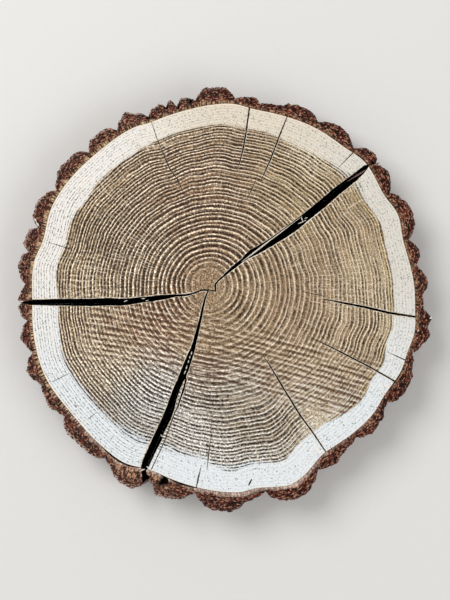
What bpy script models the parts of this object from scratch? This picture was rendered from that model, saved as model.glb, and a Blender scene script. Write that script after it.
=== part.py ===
"""Wood slice: one disc sawn from an oak log, with its ring of bark still on.

The slice lies flat on one sawn face. +Z is up, +X and +Y run across the face, and the origin is
the middle of the underside. Lengths are in metres. Bearings are in degrees, counter-clockwise
about the pith as seen from above, with 0 along +X.
"""

import math

import bmesh
import bpy
from mathutils import Matrix, Vector, noise

# The whole slice
THICKNESS = 0.035
PITH = Vector((-0.0126, 0.0112, 0.0))
SEAT_GAP = 0.0003
BARK_SET_BACK = 0.0003
GRAIN_TWIST = 1.6
WELD = 0.000001

# The edge of the wood under the bark, as bearing and radius
CAMBIUM = (
    (0, 0.1490), (12, 0.1447), (20, 0.1462), (27, 0.1426), (37.5, 0.1436), (45, 0.1395),
    (55, 0.1368), (68, 0.1321), (75, 0.1303), (82, 0.1310), (90, 0.1285), (97, 0.1260),
    (109, 0.1233), (115, 0.1244), (130, 0.1233), (153, 0.1248), (165, 0.1222), (173, 0.1256),
    (185, 0.1264), (198, 0.1307), (210, 0.1343), (224, 0.1350), (236, 0.1388), (245, 0.1418),
    (253, 0.1400), (262, 0.1440), (270, 0.1480), (279, 0.1518), (283.5, 0.1512), (288, 0.1537),
    (292.5, 0.1565), (297, 0.1544), (303, 0.1489), (306, 0.1480), (315, 0.1505), (322, 0.1518),
    (328, 0.1508), (336, 0.1531), (341, 0.1524), (347, 0.1534), (353, 0.1510),
)

# The bark's lobes, each as the bearing and radius of the furrow before it and of its crest
BARK_LOBES = (
    (5, 0.1516, 8.3, 0.1552), (12.3, 0.1488, 19, 0.1572), (26.4, 0.1472, 31.4, 0.1536),
    (35.4, 0.1504, 37.8, 0.1536), (42.5, 0.1436, 49, 0.1492), (55.5, 0.1416, 60.5, 0.1456),
    (73.5, 0.1352, 76, 0.1392), (81.3, 0.1348, 86.5, 0.1424), (93.5, 0.1332, 96.8, 0.1356),
    (99.5, 0.1289, 101.5, 0.1354), (103, 0.1303, 104.8, 0.1346), (109.3, 0.1280, 115.5, 0.1375),
    (120, 0.1276, 125, 0.1344), (131.7, 0.1272, 140, 0.1354), (148.2, 0.1284, 155, 0.1360),
    (161.3, 0.1276, 166.5, 0.1357), (169.6, 0.1300, 174.5, 0.1375), (180, 0.1303, 183.6, 0.1366),
    (185.7, 0.1343, 187.8, 0.1375), (191.3, 0.1321, 196.3, 0.1404), (201.5, 0.1354, 206, 0.1447),
    (211.3, 0.1397, 218.3, 0.1447), (222.7, 0.1400, 232.5, 0.1490), (239.5, 0.1458, 249, 0.1577),
    (252.6, 0.1476, 253.6, 0.1490), (254.8, 0.1490, 258.5, 0.1573), (266.7, 0.1505, 275.7, 0.1652),
    (285.8, 0.1555, 293, 0.1681), (300.5, 0.1555, 305.5, 0.1598), (314, 0.1541, 318.5, 0.1609),
    (326.8, 0.1559, 332, 0.1631), (341.3, 0.1562, 347, 0.1652), (357, 0.1555, 361, 0.1595),
)
LOBE_ROUNDNESS = 0.7
LOBE_STEPS = (0.0, 0.1, 0.3, 0.6)

# The bark's side: height above the underside, and how far it stands in there
BARK_LEVELS = (
    (0.0, 0.0014), (0.002, 0.0006), (0.009, 0.0), (0.018, 0.0), (0.026, 0.0), (0.033, 0.0),
    (THICKNESS, 0.0006),
)
RELIEF_DEPTH = 0.0022
BARK_LEAST = 0.0018
RELIEF_SCALE = 9.0
RELIEF_HEIGHT = 0.12
FURROW_WANDER = 0.9

# Where the bark has come away from the wood, as first and last bearing and the gap's width
PARTINGS = ((237.0, 250.0, 0.0012), (259.0, 267.0, 0.0007))

# The three wide cracks on the upper face, from the pith outwards. Each point is given from the
# pith, as x, y and the crack's width there
NORTH_EAST_CRACK = (
    (0.0007, -0.0045, 0.0006), (0.0039, -0.0054, 0.0006), (0.0061, -0.0053, 0.0006),
    (0.0061, 0.0000, 0.0007), (0.0108, 0.0046, 0.0009), (0.0180, 0.0100, 0.0012),
    (0.0223, 0.0138, 0.0017), (0.0257, 0.0165, 0.0016), (0.0309, 0.0194, 0.0012),
    (0.0360, 0.0221, 0.0013), (0.0396, 0.0244, 0.0023), (0.0468, 0.0290, 0.0036),
    (0.0540, 0.0343, 0.0046), (0.0612, 0.0396, 0.0055), (0.0691, 0.0460, 0.0062),
    (0.0831, 0.0571, 0.0063), (0.0943, 0.0669, 0.0060), (0.1065, 0.0763, 0.0050),
    (0.1137, 0.0826, 0.0039), (0.1191, 0.0864, 0.0007),
)
WEST_CRACK = (
    (0.0013, -0.0044, 0.0009), (-0.0051, -0.0048, 0.0011), (-0.0123, -0.0074, 0.0012),
    (-0.0202, -0.0079, 0.0012), (-0.0267, -0.0087, 0.0022), (-0.0375, -0.0096, 0.0029),
    (-0.0476, -0.0110, 0.0040), (-0.0591, -0.0128, 0.0050), (-0.0713, -0.0124, 0.0058),
    (-0.0843, -0.0129, 0.0055), (-0.1059, -0.0128, 0.0050), (-0.1253, -0.0130, 0.0040),
    (-0.1304, -0.0132, 0.0019), (-0.1318, -0.0131, 0.0006),
)
SOUTH_CRACK = (
    (0.0010, -0.0041, 0.0007), (-0.0026, -0.0116, 0.0011), (-0.0038, -0.0195, 0.0014),
    (-0.0062, -0.0274, 0.0020), (-0.0073, -0.0339, 0.0023), (-0.0111, -0.0476, 0.0037),
    (-0.0149, -0.0591, 0.0038), (-0.0177, -0.0670, 0.0049), (-0.0221, -0.0785, 0.0042),
    (-0.0252, -0.0836, 0.0045), (-0.0294, -0.0980, 0.0058), (-0.0337, -0.1052, 0.0059),
    (-0.0368, -0.1124, 0.0069), (-0.0402, -0.1196, 0.0063), (-0.0436, -0.1268, 0.0062),
    (-0.0452, -0.1314, 0.0056), (-0.0459, -0.1347, 0.0035), (-0.0455, -0.1383, 0.0037),
    (-0.0447, -0.1426, 0.0046), (-0.0432, -0.1498, 0.0072), (-0.0418, -0.1592, 0.0105),
)
WIDE_CRACKS = {
    "north_east": NORTH_EAST_CRACK,
    "west": WEST_CRACK,
    "south": SOUTH_CRACK,
}
CRACK_TAPER = 0.75
# Near the pith the wide cracks stop part way down, so the wood there holds together
SHALLOW_FLOOR = 0.019
SHALLOW_RADIUS = 0.028
THROUGH_RADIUS = 0.050
CUT_MARGIN = 0.001
CRACK_LEVELS = 4

# The finer cracks, each as its depth and then the same kind of points, from the rim inwards
FINE_CRACKS = {
    "fork": (0.006, (
        (0.0250, 0.0171, 0.0010), (0.0288, 0.0212, 0.0014), (0.0331, 0.0244, 0.0015),
        (0.0396, 0.0289, 0.0012), (0.0468, 0.0338, 0.0009), (0.0648, 0.0470, 0.0005),
    )),
    "east": (0.014, (
        (0.1542, -0.0244, 0.0012), (0.1310, -0.0208, 0.0015), (0.1137, -0.0167, 0.0014),
        (0.0993, -0.0139, 0.0010), (0.0828, -0.0108, 0.0005),
    )),
    "east_south_east": (0.008, ((0.1462, -0.0565, 0.0010), (0.1294, -0.0487, 0.0005))),
    "south_east": (0.011, (
        (0.1390, -0.0723, 0.0010), (0.1177, -0.0601, 0.0010), (0.0935, -0.0476, 0.0008),
        (0.0745, -0.0384, 0.0005),
    )),
    "south_south_east": (0.012, (
        (0.0872, -0.1233, 0.0007), (0.0756, -0.1061, 0.0010), (0.0669, -0.0944, 0.0011),
        (0.0547, -0.0745, 0.0010), (0.0401, -0.0511, 0.0005),
    )),
    "beside_south": (0.008, (
        (-0.0410, -0.1354, 0.0007), (-0.0310, -0.1142, 0.0007), (-0.0252, -0.0980, 0.0008),
        (-0.0224, -0.0908, 0.0008), (-0.0184, -0.0728, 0.0006),
    )),
    "north": (0.009, (
        (0.0309, 0.1288, 0.0007), (0.0280, 0.1082, 0.0009), (0.0259, 0.0964, 0.0008),
        (0.0230, 0.0849, 0.0005),
    )),
    "north_north_east": (0.010, (
        (0.0586, 0.1226, 0.0008), (0.0512, 0.1041, 0.0009), (0.0458, 0.0897, 0.0008),
        (0.0403, 0.0773, 0.0005),
    )),
    "north_north_west": (0.010, (
        (-0.0408, 0.1190, 0.0006), (-0.0363, 0.1055, 0.0008), (-0.0322, 0.0959, 0.0009),
        (-0.0267, 0.0828, 0.0008), (-0.0211, 0.0752, 0.0007), (-0.0156, 0.0628, 0.0005),
    )),
    "beside_north_east": (0.008, ((0.1057, 0.0949, 0.0009), (0.0945, 0.0838, 0.0005))),
}

# Colours, as linear red, green and blue
WOOD_COLOUR = (0.40, 0.30, 0.20)
BARK_COLOUR = (0.085, 0.040, 0.024)
WOOD_ROUGHNESS = 0.78
BARK_ROUGHNESS = 0.92
SMOOTH_ANGLE = math.radians(40)


def clear_scene():
    """Remove every object and mesh that the file opened with."""
    for item in list(bpy.data.objects):
        bpy.data.objects.remove(item, do_unlink=True)
    for mesh in list(bpy.data.meshes):
        bpy.data.meshes.remove(mesh)


def make_material(name, colour, roughness):
    """A plain Principled material."""
    material = bpy.data.materials.new(name)
    material.use_nodes = True
    shader = material.node_tree.nodes["Principled BSDF"]
    shader.inputs["Base Color"].default_value = (*colour, 1.0)
    shader.inputs["Roughness"].default_value = roughness
    shader.inputs["Metallic"].default_value = 0.0
    material.diffuse_color = (*colour, 1.0)
    return material


def turned(point, height):
    """Turn a point of the upper face about the pith by the grain's twist at a height."""
    twist = math.radians(GRAIN_TWIST) * (1.0 - height / THICKNESS)
    flat = Matrix.Rotation(twist, 3, "Z") @ (point - PITH) + PITH
    return Vector((flat.x, flat.y, height))


def polar(bearing, radius, height):
    """The point at a bearing and a radius about the pith, following the grain's twist."""
    angle = math.radians(bearing)
    return turned(PITH + radius * Vector((math.cos(angle), math.sin(angle), 0.0)), height)


def cambium_radius(bearing):
    """Radius of the wood, on a smooth closed curve through the cambium's points."""
    turn = bearing % 360.0
    count = len(CAMBIUM)
    start = max(index for index, point in enumerate(CAMBIUM) if point[0] <= turn)
    near = []
    for step in (-1, 0, 1, 2):
        lap, index = divmod(start + step, count)
        near.append((CAMBIUM[index][0] + 360.0 * lap, CAMBIUM[index][1]))
    (b0, r0), (b1, r1), (b2, r2), (b3, r3) = near
    span = b2 - b1
    t = (turn - b1) / span
    slope1 = (r2 - r0) / (b2 - b0) * span
    slope2 = (r3 - r1) / (b3 - b1) * span
    return (
        (2 * t**3 - 3 * t**2 + 1) * r1
        + (t**3 - 2 * t**2 + t) * slope1
        + (3 * t**2 - 2 * t**3) * r2
        + (t**3 - t**2) * slope2
    )


def parting(bearing):
    """Width of the gap where the bark has come away from the wood."""
    for first, last, width in PARTINGS:
        if first < bearing % 360.0 < last:
            return width * math.sin(math.pi * (bearing % 360.0 - first) / (last - first)) ** 0.5
    return 0.0


def bark_outline():
    """The bark's sawn outline as (bearing, radius), each lobe rising round from its furrows."""
    outline = []
    following = BARK_LOBES[1:] + ((BARK_LOBES[0][0] + 360.0, *BARK_LOBES[0][1:]),)
    for lobe, after in zip(BARK_LOBES, following):
        furrow, low, crest, high = lobe
        for step in LOBE_STEPS:
            rise = math.sin(0.5 * math.pi * step) ** LOBE_ROUNDNESS
            outline.append((furrow + (crest - furrow) * step, low + (high - low) * rise))
        next_furrow, next_low = after[:2]
        for step in (1.0,) + LOBE_STEPS[:0:-1]:
            rise = math.sin(0.5 * math.pi * step) ** LOBE_ROUNDNESS
            bearing = next_furrow + (crest - next_furrow) * step
            outline.append((bearing, next_low + (high - next_low) * rise))
    return outline


def relief(bearing, height, seed):
    """Smooth unevenness between -1 and 1 on the side of the bark."""
    angle = math.radians(bearing)
    around = Vector((math.cos(angle), math.sin(angle), height / RELIEF_HEIGHT))
    return noise.noise(around * RELIEF_SCALE + Vector((seed, seed, seed)))


def seat_radius(bearing):
    """Radius of the bark's inner face, which lies just off the wood."""
    return cambium_radius(bearing) + SEAT_GAP + parting(bearing)


def bark_point(bearing, radius, height, inset):
    """A point on the side of the bark, exact on the upper edge and uneven below it."""
    depth = 1.0 - height / THICKNESS
    back = RELIEF_DEPTH * depth**0.5 * (0.6 + 0.8 * relief(bearing, height, 3.7))
    bearing += FURROW_WANDER * depth**0.5 * relief(bearing, height, 11.3)
    weathered = radius - inset - max(back, 0.0)
    level = min(max(height, BARK_SET_BACK), THICKNESS - BARK_SET_BACK)
    return polar(bearing, max(weathered, seat_radius(bearing) + BARK_LEAST), level)


def loft(bm, rings):
    """Extrude a ring of points on through each later ring, and give the two end loops of edges."""
    order = bm.verts.layers.int.new("order")
    verts = [bm.verts.new(point) for point in rings[0]]
    for index, vert in enumerate(verts):
        vert[order] = index
    first = [bm.edges.new((verts[index - 1], verts[index])) for index in range(len(verts))]
    last = first
    for ring in rings[1:]:
        grown = bmesh.ops.extrude_edge_only(bm, edges=last)["geom"]
        for vert in grown:
            if isinstance(vert, bmesh.types.BMVert):
                vert.co = ring[vert[order]]
        last = [edge for edge in grown if isinstance(edge, bmesh.types.BMEdge)]
    return first, last


def cap(bm, loops):
    """Close the ends of a loft."""
    for loop in loops:
        bmesh.ops.contextual_create(bm, geom=loop)


def make_object(name, bm, material=None):
    """Turn a bmesh into a named object with its faces pointing out."""
    bmesh.ops.recalc_face_normals(bm, faces=bm.faces)
    mesh = bpy.data.meshes.new(name)
    bm.to_mesh(mesh)
    bm.free()
    item = bpy.data.objects.new(name, mesh)
    bpy.context.scene.collection.objects.link(item)
    if material:
        mesh.materials.append(material)
        mesh.shade_smooth()
        mesh.set_sharp_from_angle(angle=SMOOTH_ANGLE)
    return item


def make_wood(material):
    """The disc of wood, before its cracks."""
    bearings = [bearing for bearing, _ in bark_outline()]
    heights = (0.0, 0.5 * THICKNESS, THICKNESS)
    rings = [[polar(b, cambium_radius(b), height) for b in bearings] for height in heights]
    bm = bmesh.new()
    cap(bm, loft(bm, rings))
    return make_object("wood", bm, material)


def make_bark(material):
    """The ring of bark, before the cracks cut into it."""
    outline = bark_outline()
    rings = []
    for height, inset in BARK_LEVELS:
        rings.append([bark_point(b, r, height, inset) for b, r in outline])
    for height in (THICKNESS - BARK_SET_BACK, 0.5 * THICKNESS, BARK_SET_BACK):
        rings.append([polar(b, seat_radius(b), height) for b, _ in outline])
    rings.append(rings[0])
    bm = bmesh.new()
    loft(bm, rings)
    bmesh.ops.remove_doubles(bm, verts=bm.verts, dist=WELD)
    bmesh.ops.triangulate(bm, faces=bm.faces)
    return make_object("bark", bm, material)


def crack_floor(radius):
    """Height of a wide crack's floor at a radius: below the underside where it runs through."""
    share = (radius - SHALLOW_RADIUS) / (THROUGH_RADIUS - SHALLOW_RADIUS)
    share = min(max(share, 0.0), 1.0)
    return SHALLOW_FLOOR - (SHALLOW_FLOOR + CUT_MARGIN) * share


def crack_sides(points):
    """The left and right edges of a crack on the upper face, either side of its middle line."""
    middle = [PITH + Vector((x, y, 0.0)) for x, y, _ in points]
    sides = []
    for index, point in enumerate(middle):
        before = middle[max(index - 1, 0)]
        after = middle[min(index + 1, len(middle) - 1)]
        along = (after - before).normalized()
        sides.append((point, along.cross(Vector((0.0, 0.0, 1.0))) * 0.5 * points[index][2]))
    return sides


def make_wide_cutter(name, points):
    """A wide crack's cutter: upright walls that close a little with depth."""
    bm = bmesh.new()
    top = THICKNESS + CUT_MARGIN
    rings = []
    for point, side in crack_sides(points):
        floor = crack_floor((point - PITH).length)
        heights = [top + (floor - top) * step / CRACK_LEVELS for step in range(CRACK_LEVELS + 1)]
        tapers = [1.0 + (CRACK_TAPER - 1.0) * (top - height) / top for height in heights]
        right = [turned(point + side * t, h) for h, t in zip(heights, tapers)]
        left = [turned(point - side * t, h) for h, t in zip(heights, tapers)]
        rings.append(right + left[::-1])
    cap(bm, loft(bm, rings))
    bmesh.ops.triangulate(bm, faces=bm.faces)
    return finish_cutter(make_object("cutter_" + name, bm))


def make_fine_cutter(name, depth, points):
    """A fine crack's cutter: a wedge with its sharp edge down."""
    bm = bmesh.new()
    top = THICKNESS + CUT_MARGIN
    spread = 1.0 + CUT_MARGIN / depth
    rings = []
    for point, side in crack_sides(points):
        corners = [
            turned(point + side * spread, top),
            turned(point - side * spread, top),
            turned(point, THICKNESS - depth),
        ]
        rings.append(corners)
    cap(bm, loft(bm, rings))
    bmesh.ops.triangulate(bm, faces=bm.faces)
    return finish_cutter(make_object("cutter_" + name, bm))


def finish_cutter(cutter):
    """Keep a cutter out of the model and out of renders."""
    cutter.hide_render = True
    cutter.display_type = "WIRE"
    return cutter


def cut(target, cutter):
    """Take the cutter's shape out of the target."""
    modifier = target.modifiers.new(cutter.name, "BOOLEAN")
    modifier.operation = "DIFFERENCE"
    modifier.solver = "EXACT"
    modifier.object = cutter


def main():
    """Build the slice."""
    clear_scene()
    wood = make_wood(make_material("sawn_wood", WOOD_COLOUR, WOOD_ROUGHNESS))
    bark = make_bark(make_material("oak_bark", BARK_COLOUR, BARK_ROUGHNESS))
    for name, points in WIDE_CRACKS.items():
        cutter = make_wide_cutter(name, points)
        cut(wood, cutter)
        cut(bark, cutter)
    for name, (depth, points) in FINE_CRACKS.items():
        cut(wood, make_fine_cutter(name, depth, points))


main()
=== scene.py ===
"""Dress the wood slice: sawn oak end grain, its ring of bark, and a plain studio round it."""
import logging
import math
from bisect import bisect_right
from dataclasses import dataclass
from enum import Enum
from typing import Callable, Sequence

import bmesh
import bpy
from mathutils import Matrix, Vector, noise


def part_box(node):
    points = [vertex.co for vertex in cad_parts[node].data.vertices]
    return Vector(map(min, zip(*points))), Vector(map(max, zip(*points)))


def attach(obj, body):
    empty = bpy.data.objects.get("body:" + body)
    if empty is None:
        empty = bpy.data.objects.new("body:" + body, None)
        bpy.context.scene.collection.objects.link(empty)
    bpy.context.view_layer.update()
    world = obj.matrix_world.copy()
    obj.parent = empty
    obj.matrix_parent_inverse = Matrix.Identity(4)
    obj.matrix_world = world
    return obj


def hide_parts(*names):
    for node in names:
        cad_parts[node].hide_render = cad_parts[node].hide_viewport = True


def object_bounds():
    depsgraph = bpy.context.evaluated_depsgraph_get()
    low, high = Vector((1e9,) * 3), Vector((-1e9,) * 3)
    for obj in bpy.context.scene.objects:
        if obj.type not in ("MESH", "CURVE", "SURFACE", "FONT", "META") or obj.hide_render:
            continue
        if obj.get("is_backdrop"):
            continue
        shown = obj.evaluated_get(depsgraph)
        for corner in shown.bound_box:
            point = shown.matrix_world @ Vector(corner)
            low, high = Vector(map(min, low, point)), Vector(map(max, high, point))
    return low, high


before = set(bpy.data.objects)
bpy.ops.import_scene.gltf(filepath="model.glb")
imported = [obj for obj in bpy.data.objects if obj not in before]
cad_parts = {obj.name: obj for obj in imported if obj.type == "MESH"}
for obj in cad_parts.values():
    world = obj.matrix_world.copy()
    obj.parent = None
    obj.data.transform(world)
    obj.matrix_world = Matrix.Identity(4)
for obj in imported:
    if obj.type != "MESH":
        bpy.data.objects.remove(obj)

LOG = logging.getLogger("wood_slice")
MM = 0.001
PIXEL = 0.72 * MM
FULL_TURN = 360.0
WELD = 1e-6
PITH = (-12.6 * MM, 11.2 * MM, 0.0)
Mark = tuple[float, float]
CrackPoint = tuple[float, float, float]
Colour = tuple[float, float, float]


def smooth_step(low: float, high: float, value: float) -> float:
    """Rise smoothly from 0 to 1 between two limits.

    Args:
        low: Value at and below which the result is 0.
        high: Value at and above which the result is 1.
        value: Where to read the curve.

    Returns:
        A share from 0 to 1.
    """
    share = min(max((value - low) / (high - low), 0.0), 1.0)
    return share * share * (3.0 - 2.0 * share)


def closed_curve(marks: Sequence[Mark], bearing: float) -> float:
    """Read a smooth closed curve through (bearing, radius) marks, the first one at bearing 0.

    Args:
        marks: Bearings in degrees, rising, with the radius at each.
        bearing: Where to read the curve, in degrees.

    Returns:
        The radius there.
    """
    turn = bearing % FULL_TURN
    start = bisect_right(marks, (turn, math.inf)) - 1
    near = []
    for step in (-1, 0, 1, 2):
        lap, index = divmod(start + step, len(marks))
        near.append((marks[index][0] + FULL_TURN * lap, marks[index][1]))
    (b0, r0), (b1, r1), (b2, r2), (b3, r3) = near
    span = b2 - b1
    t = (turn - b1) / span
    slope1 = (r2 - r0) / (b2 - b0) * span
    slope2 = (r3 - r1) / (b3 - b1) * span
    return (
        (2 * t**3 - 3 * t**2 + 1) * r1
        + (t**3 - 2 * t**2 + t) * slope1
        + (3 * t**2 - 2 * t**3) * r2
        + (t**3 - t**2) * slope2
    )


@dataclass(frozen=True)
class LogShape:
    """How the log grew: where its wood, heartwood and bark end at each bearing about the pith."""

    thickness: float
    pith: Vector
    grain_twist: float = 1.6
    seat_gap: float = 0.3 * MM
    bark_set_back: float = 0.3 * MM
    cambium: tuple[Mark, ...] = (
        (0, 0.1490), (12, 0.1447), (20, 0.1462), (27, 0.1426), (37.5, 0.1436), (45, 0.1395),
        (55, 0.1368), (68, 0.1321), (75, 0.1303), (82, 0.1310), (90, 0.1285), (97, 0.1260),
        (109, 0.1233), (115, 0.1244), (130, 0.1233), (153, 0.1248), (165, 0.1222), (173, 0.1256),
        (185, 0.1264), (198, 0.1307), (210, 0.1343), (224, 0.1350), (236, 0.1388), (245, 0.1418),
        (253, 0.1400), (262, 0.1440), (270, 0.1480), (279, 0.1518), (283.5, 0.1512),
        (288, 0.1537), (292.5, 0.1565), (297, 0.1544), (303, 0.1489), (306, 0.1480),
        (315, 0.1505), (322, 0.1518), (328, 0.1508), (336, 0.1531), (341, 0.1524), (347, 0.1534),
        (353, 0.1510),
    )
    heart: tuple[Mark, ...] = (
        (0, 0.1336), (5, 0.1325), (12, 0.1310), (17, 0.1325), (22, 0.1307), (27, 0.1284),
        (35, 0.1282), (41, 0.1246), (45, 0.1238), (53, 0.1195), (60, 0.1177), (70, 0.1166),
        (75, 0.1152), (85, 0.1152), (90, 0.1134), (100, 0.1112), (109, 0.1091), (120, 0.1076),
        (128, 0.1070), (135, 0.1073), (147, 0.1058), (153, 0.1077), (160, 0.1066),
        (165, 0.1058), (175, 0.1087), (185, 0.1073), (190, 0.1084), (200, 0.1123),
        (205, 0.1148), (210, 0.1159), (220, 0.1166), (230, 0.1184), (236, 0.1197),
        (254, 0.1195), (262, 0.1220), (270, 0.1253), (274, 0.1305), (278, 0.1332),
        (284, 0.1320), (288, 0.1346), (292, 0.1382), (295, 0.1375), (299, 0.1332),
        (305, 0.1310), (310, 0.1314), (316, 0.1357), (325, 0.1390), (330, 0.1367),
        (336, 0.1394), (341, 0.1359), (347, 0.1368), (353, 0.1353),
    )
    bark: tuple[Mark, ...] = (
        (0, 221.5), (5, 210.6), (8.3, 215.6), (12.3, 206.7), (17, 217.8), (19, 218.3),
        (22, 216.7), (24, 212.2), (26.4, 204.4), (31.4, 213.3), (35.4, 207.9), (37.5, 213.3),
        (39.5, 211), (42.5, 199.4), (49, 207.2), (55.5, 196.7), (59.4, 202.2), (62.5, 201.7),
        (65.5, 198.3), (67, 194.4), (70, 191.7), (73.5, 187.8), (75.5, 193.3), (78, 191.7),
        (81.3, 187.2), (85, 197.8), (90, 196.7), (93.5, 185), (96, 187.8), (97.8, 188.3),
        (99.5, 179), (101.5, 188), (103, 181), (104.5, 187), (107, 184.7), (109.3, 177.8),
        (112.5, 185), (115.5, 191), (118, 186), (120, 177.2), (123, 186), (125.5, 186.7),
        (129, 185.5), (131.7, 176.7), (135.5, 187), (138.5, 187), (142.5, 188.3), (145, 184),
        (148.2, 178.3), (151, 186), (153.5, 188.9), (156.5, 188.9), (159, 187), (161.3, 177.2),
        (163.5, 187), (167.5, 188.5), (169.6, 180.5), (171.5, 188), (174.5, 191), (177.5, 188),
        (180, 181), (182.5, 187), (184.5, 190), (185.7, 186.5), (187, 191), (189.5, 189),
        (191.3, 183.5), (193.5, 190), (196.3, 195), (199, 191.5), (201.5, 188), (204, 197),
        (205.5, 201), (208, 200), (210, 196.5), (211.3, 194), (214, 198), (218.3, 201),
        (220.5, 198), (222.7, 194.5), (225.5, 203), (227, 205.5), (231.5, 206), (234.5, 207),
        (237, 207), (239.5, 202.5), (241.5, 206), (243, 210.5), (244.5, 215), (246.5, 218),
        (249.5, 219), (251.5, 214), (252.6, 205), (253.6, 207), (254.8, 207), (256, 218),
        (259, 218.5), (263, 217.5), (265.5, 212), (266.7, 209), (268, 217), (269.5, 223),
        (271.5, 227), (275.7, 229.4), (278, 227.5), (279.5, 222.5), (283, 220), (285.8, 216),
        (287, 224), (289, 229), (290.5, 231.5), (293, 233.5), (296, 232), (298, 226.5),
        (300.5, 216), (303, 219.5), (306, 222), (307.5, 219), (311, 217), (314, 214),
        (316, 220), (318, 223.5), (322.5, 222), (325, 217.5), (326.8, 216.5), (329, 224),
        (331, 226.5), (335.5, 226.5), (337.5, 222.5), (339, 221), (341.3, 217), (343.5, 223),
        (346.8, 229.5), (349, 225.5), (351.3, 227.5), (352.5, 223), (353.5, 218), (357, 216),
    )
    furrows: frozenset[float] = frozenset((
        5, 12.3, 26.4, 35.4, 42.5, 55.5, 73.5, 81.3, 93.5, 99.5, 103, 109.3, 120, 131.7, 148.2,
        161.3, 169.6, 180, 185.7, 191.3, 201.5, 211.3, 222.7, 239.5, 252.6, 254.8, 266.7, 285.8,
        300.5, 314, 326.8, 341.3, 357,
    ))
    furrow_sharpness: float = 1.7
    partings: tuple[tuple[float, float, float], ...] = (
        (36.8, 41.6, 0.0007), (237.0, 250.0, 0.0013), (258.6, 267.4, 0.0013),
        (329.8, 338.0, 0.0007),
    )
    inner_rings: float = 34.0
    outer_rings: float = 14.0
    crowding: float = 2.5

    def turned(self, point: Vector, height: float) -> Vector:
        """Lean a point of the upper face with the grain, down to a height.

        Args:
            point: A point of the upper face.
            height: The height wanted, above the underside.

        Returns:
            The point at that height.
        """
        twist = math.radians(self.grain_twist) * (1.0 - height / self.thickness)
        flat = Matrix.Rotation(twist, 3, "Z") @ (point - self.pith) + self.pith
        return Vector((flat.x, flat.y, height))

    def polar(self, bearing: float, radius: float, height: float) -> Vector:
        """Place a point by its bearing and radius about the pith.

        Args:
            bearing: Degrees counter-clockwise from +X, on the upper face.
            radius: Distance from the pith.
            height: Height above the underside.

        Returns:
            The point, leaned with the grain.
        """
        angle = math.radians(bearing)
        flat = self.pith + radius * Vector((math.cos(angle), math.sin(angle), 0.0))
        return self.turned(flat, height)

    def wood_edge(self, bearing: float) -> float:
        """The radius of the wood at a bearing."""
        return closed_curve(self.cambium, bearing)

    def heart_edge(self, bearing: float) -> float:
        """The radius of the heartwood at a bearing."""
        return closed_curve(self.heart, bearing)

    def bark_seat(self, bearing: float) -> float:
        """Find the radius of the bark's inner face, further out where it has come away.

        Args:
            bearing: Degrees on the upper face.

        Returns:
            The radius.
        """
        gap = self.seat_gap
        turn = bearing % FULL_TURN
        for first, last, width in self.partings:
            if first < turn < last:
                gap += width * math.sin(math.pi * (turn - first) / (last - first)) ** 0.5
        return self.wood_edge(bearing) + gap

    def bark_edge(self, bearing: float) -> float:
        """Find the radius of the bark's sawn outline.

        Args:
            bearing: Degrees on the upper face.

        Returns:
            The radius, rising round from one furrow and down to the next.
        """
        turn = bearing % FULL_TURN
        start = bisect_right(self.bark, (turn, math.inf)) - 1
        first = self.bark[start]
        lap, index = divmod(start + 1, len(self.bark))
        last = self.bark[index]
        share = (turn - first[0]) / (last[0] + FULL_TURN * lap - first[0])
        if first[0] in self.furrows:
            share = 1.0 - (1.0 - share) ** self.furrow_sharpness
        elif last[0] in self.furrows:
            share = share**self.furrow_sharpness
        else:
            share = share * share * (3.0 - 2.0 * share)
        return PIXEL * (first[1] + (last[1] - first[1]) * share)

    def even_edges(self, steps: int = 72, waves: int = 3) -> Callable[[float], float]:
        """Smooth the wood's edge to its few broad waves, which the early rings follow.

        Args:
            steps: How many bearings are read.
            waves: The finest wave kept, in waves round the log.

        Returns:
            A function from bearing to radius.
        """
        bearings = [FULL_TURN * step / steps for step in range(steps)]
        radii = [self.wood_edge(bearing) for bearing in bearings]
        terms = []
        for wave in range(waves + 1):
            turns = [math.radians(wave * bearing) for bearing in bearings]
            scale = (1.0 if wave == 0 else 2.0) / steps
            cosine = scale * sum(r * math.cos(turn) for r, turn in zip(radii, turns))
            sine = scale * sum(r * math.sin(turn) for r, turn in zip(radii, turns))
            terms.append((wave, cosine, sine))

        def even_edge(bearing: float) -> float:
            """The broad radius at a bearing."""
            angle = math.radians(bearing)
            return sum(c * math.cos(k * angle) + s * math.sin(k * angle) for k, c, s in terms)

        return even_edge

    def ring_number(self, bearing: float, radius: float, even: float) -> float:
        """Count the rings between the pith and a point.

        Args:
            bearing: Degrees on the upper face.
            radius: Distance from the pith.
            even: The broad radius of the log at that bearing.

        Returns:
            The number of rings, which grow closer outwards.
        """
        edge = self.wood_edge(bearing)
        share = radius / edge
        weight = smooth_step(0.15, 0.9, share)
        grown = radius / (even + (edge - even) * weight)
        return self.inner_rings * grown + self.outer_rings * grown**self.crowding


class CrackKind(Enum):
    """How a drying crack goes into the wood."""

    THROUGH = "upright walls, through the slice away from the pith"
    CHECK = "a wedge that closes part way down"


@dataclass(frozen=True)
class Crack:
    """One drying crack, its points given from the pith as x, y and width."""

    name: str
    kind: CrackKind
    points: tuple[CrackPoint, ...]
    depth: float = 0.0
    raggedness: float = 0.12 * MM


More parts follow.
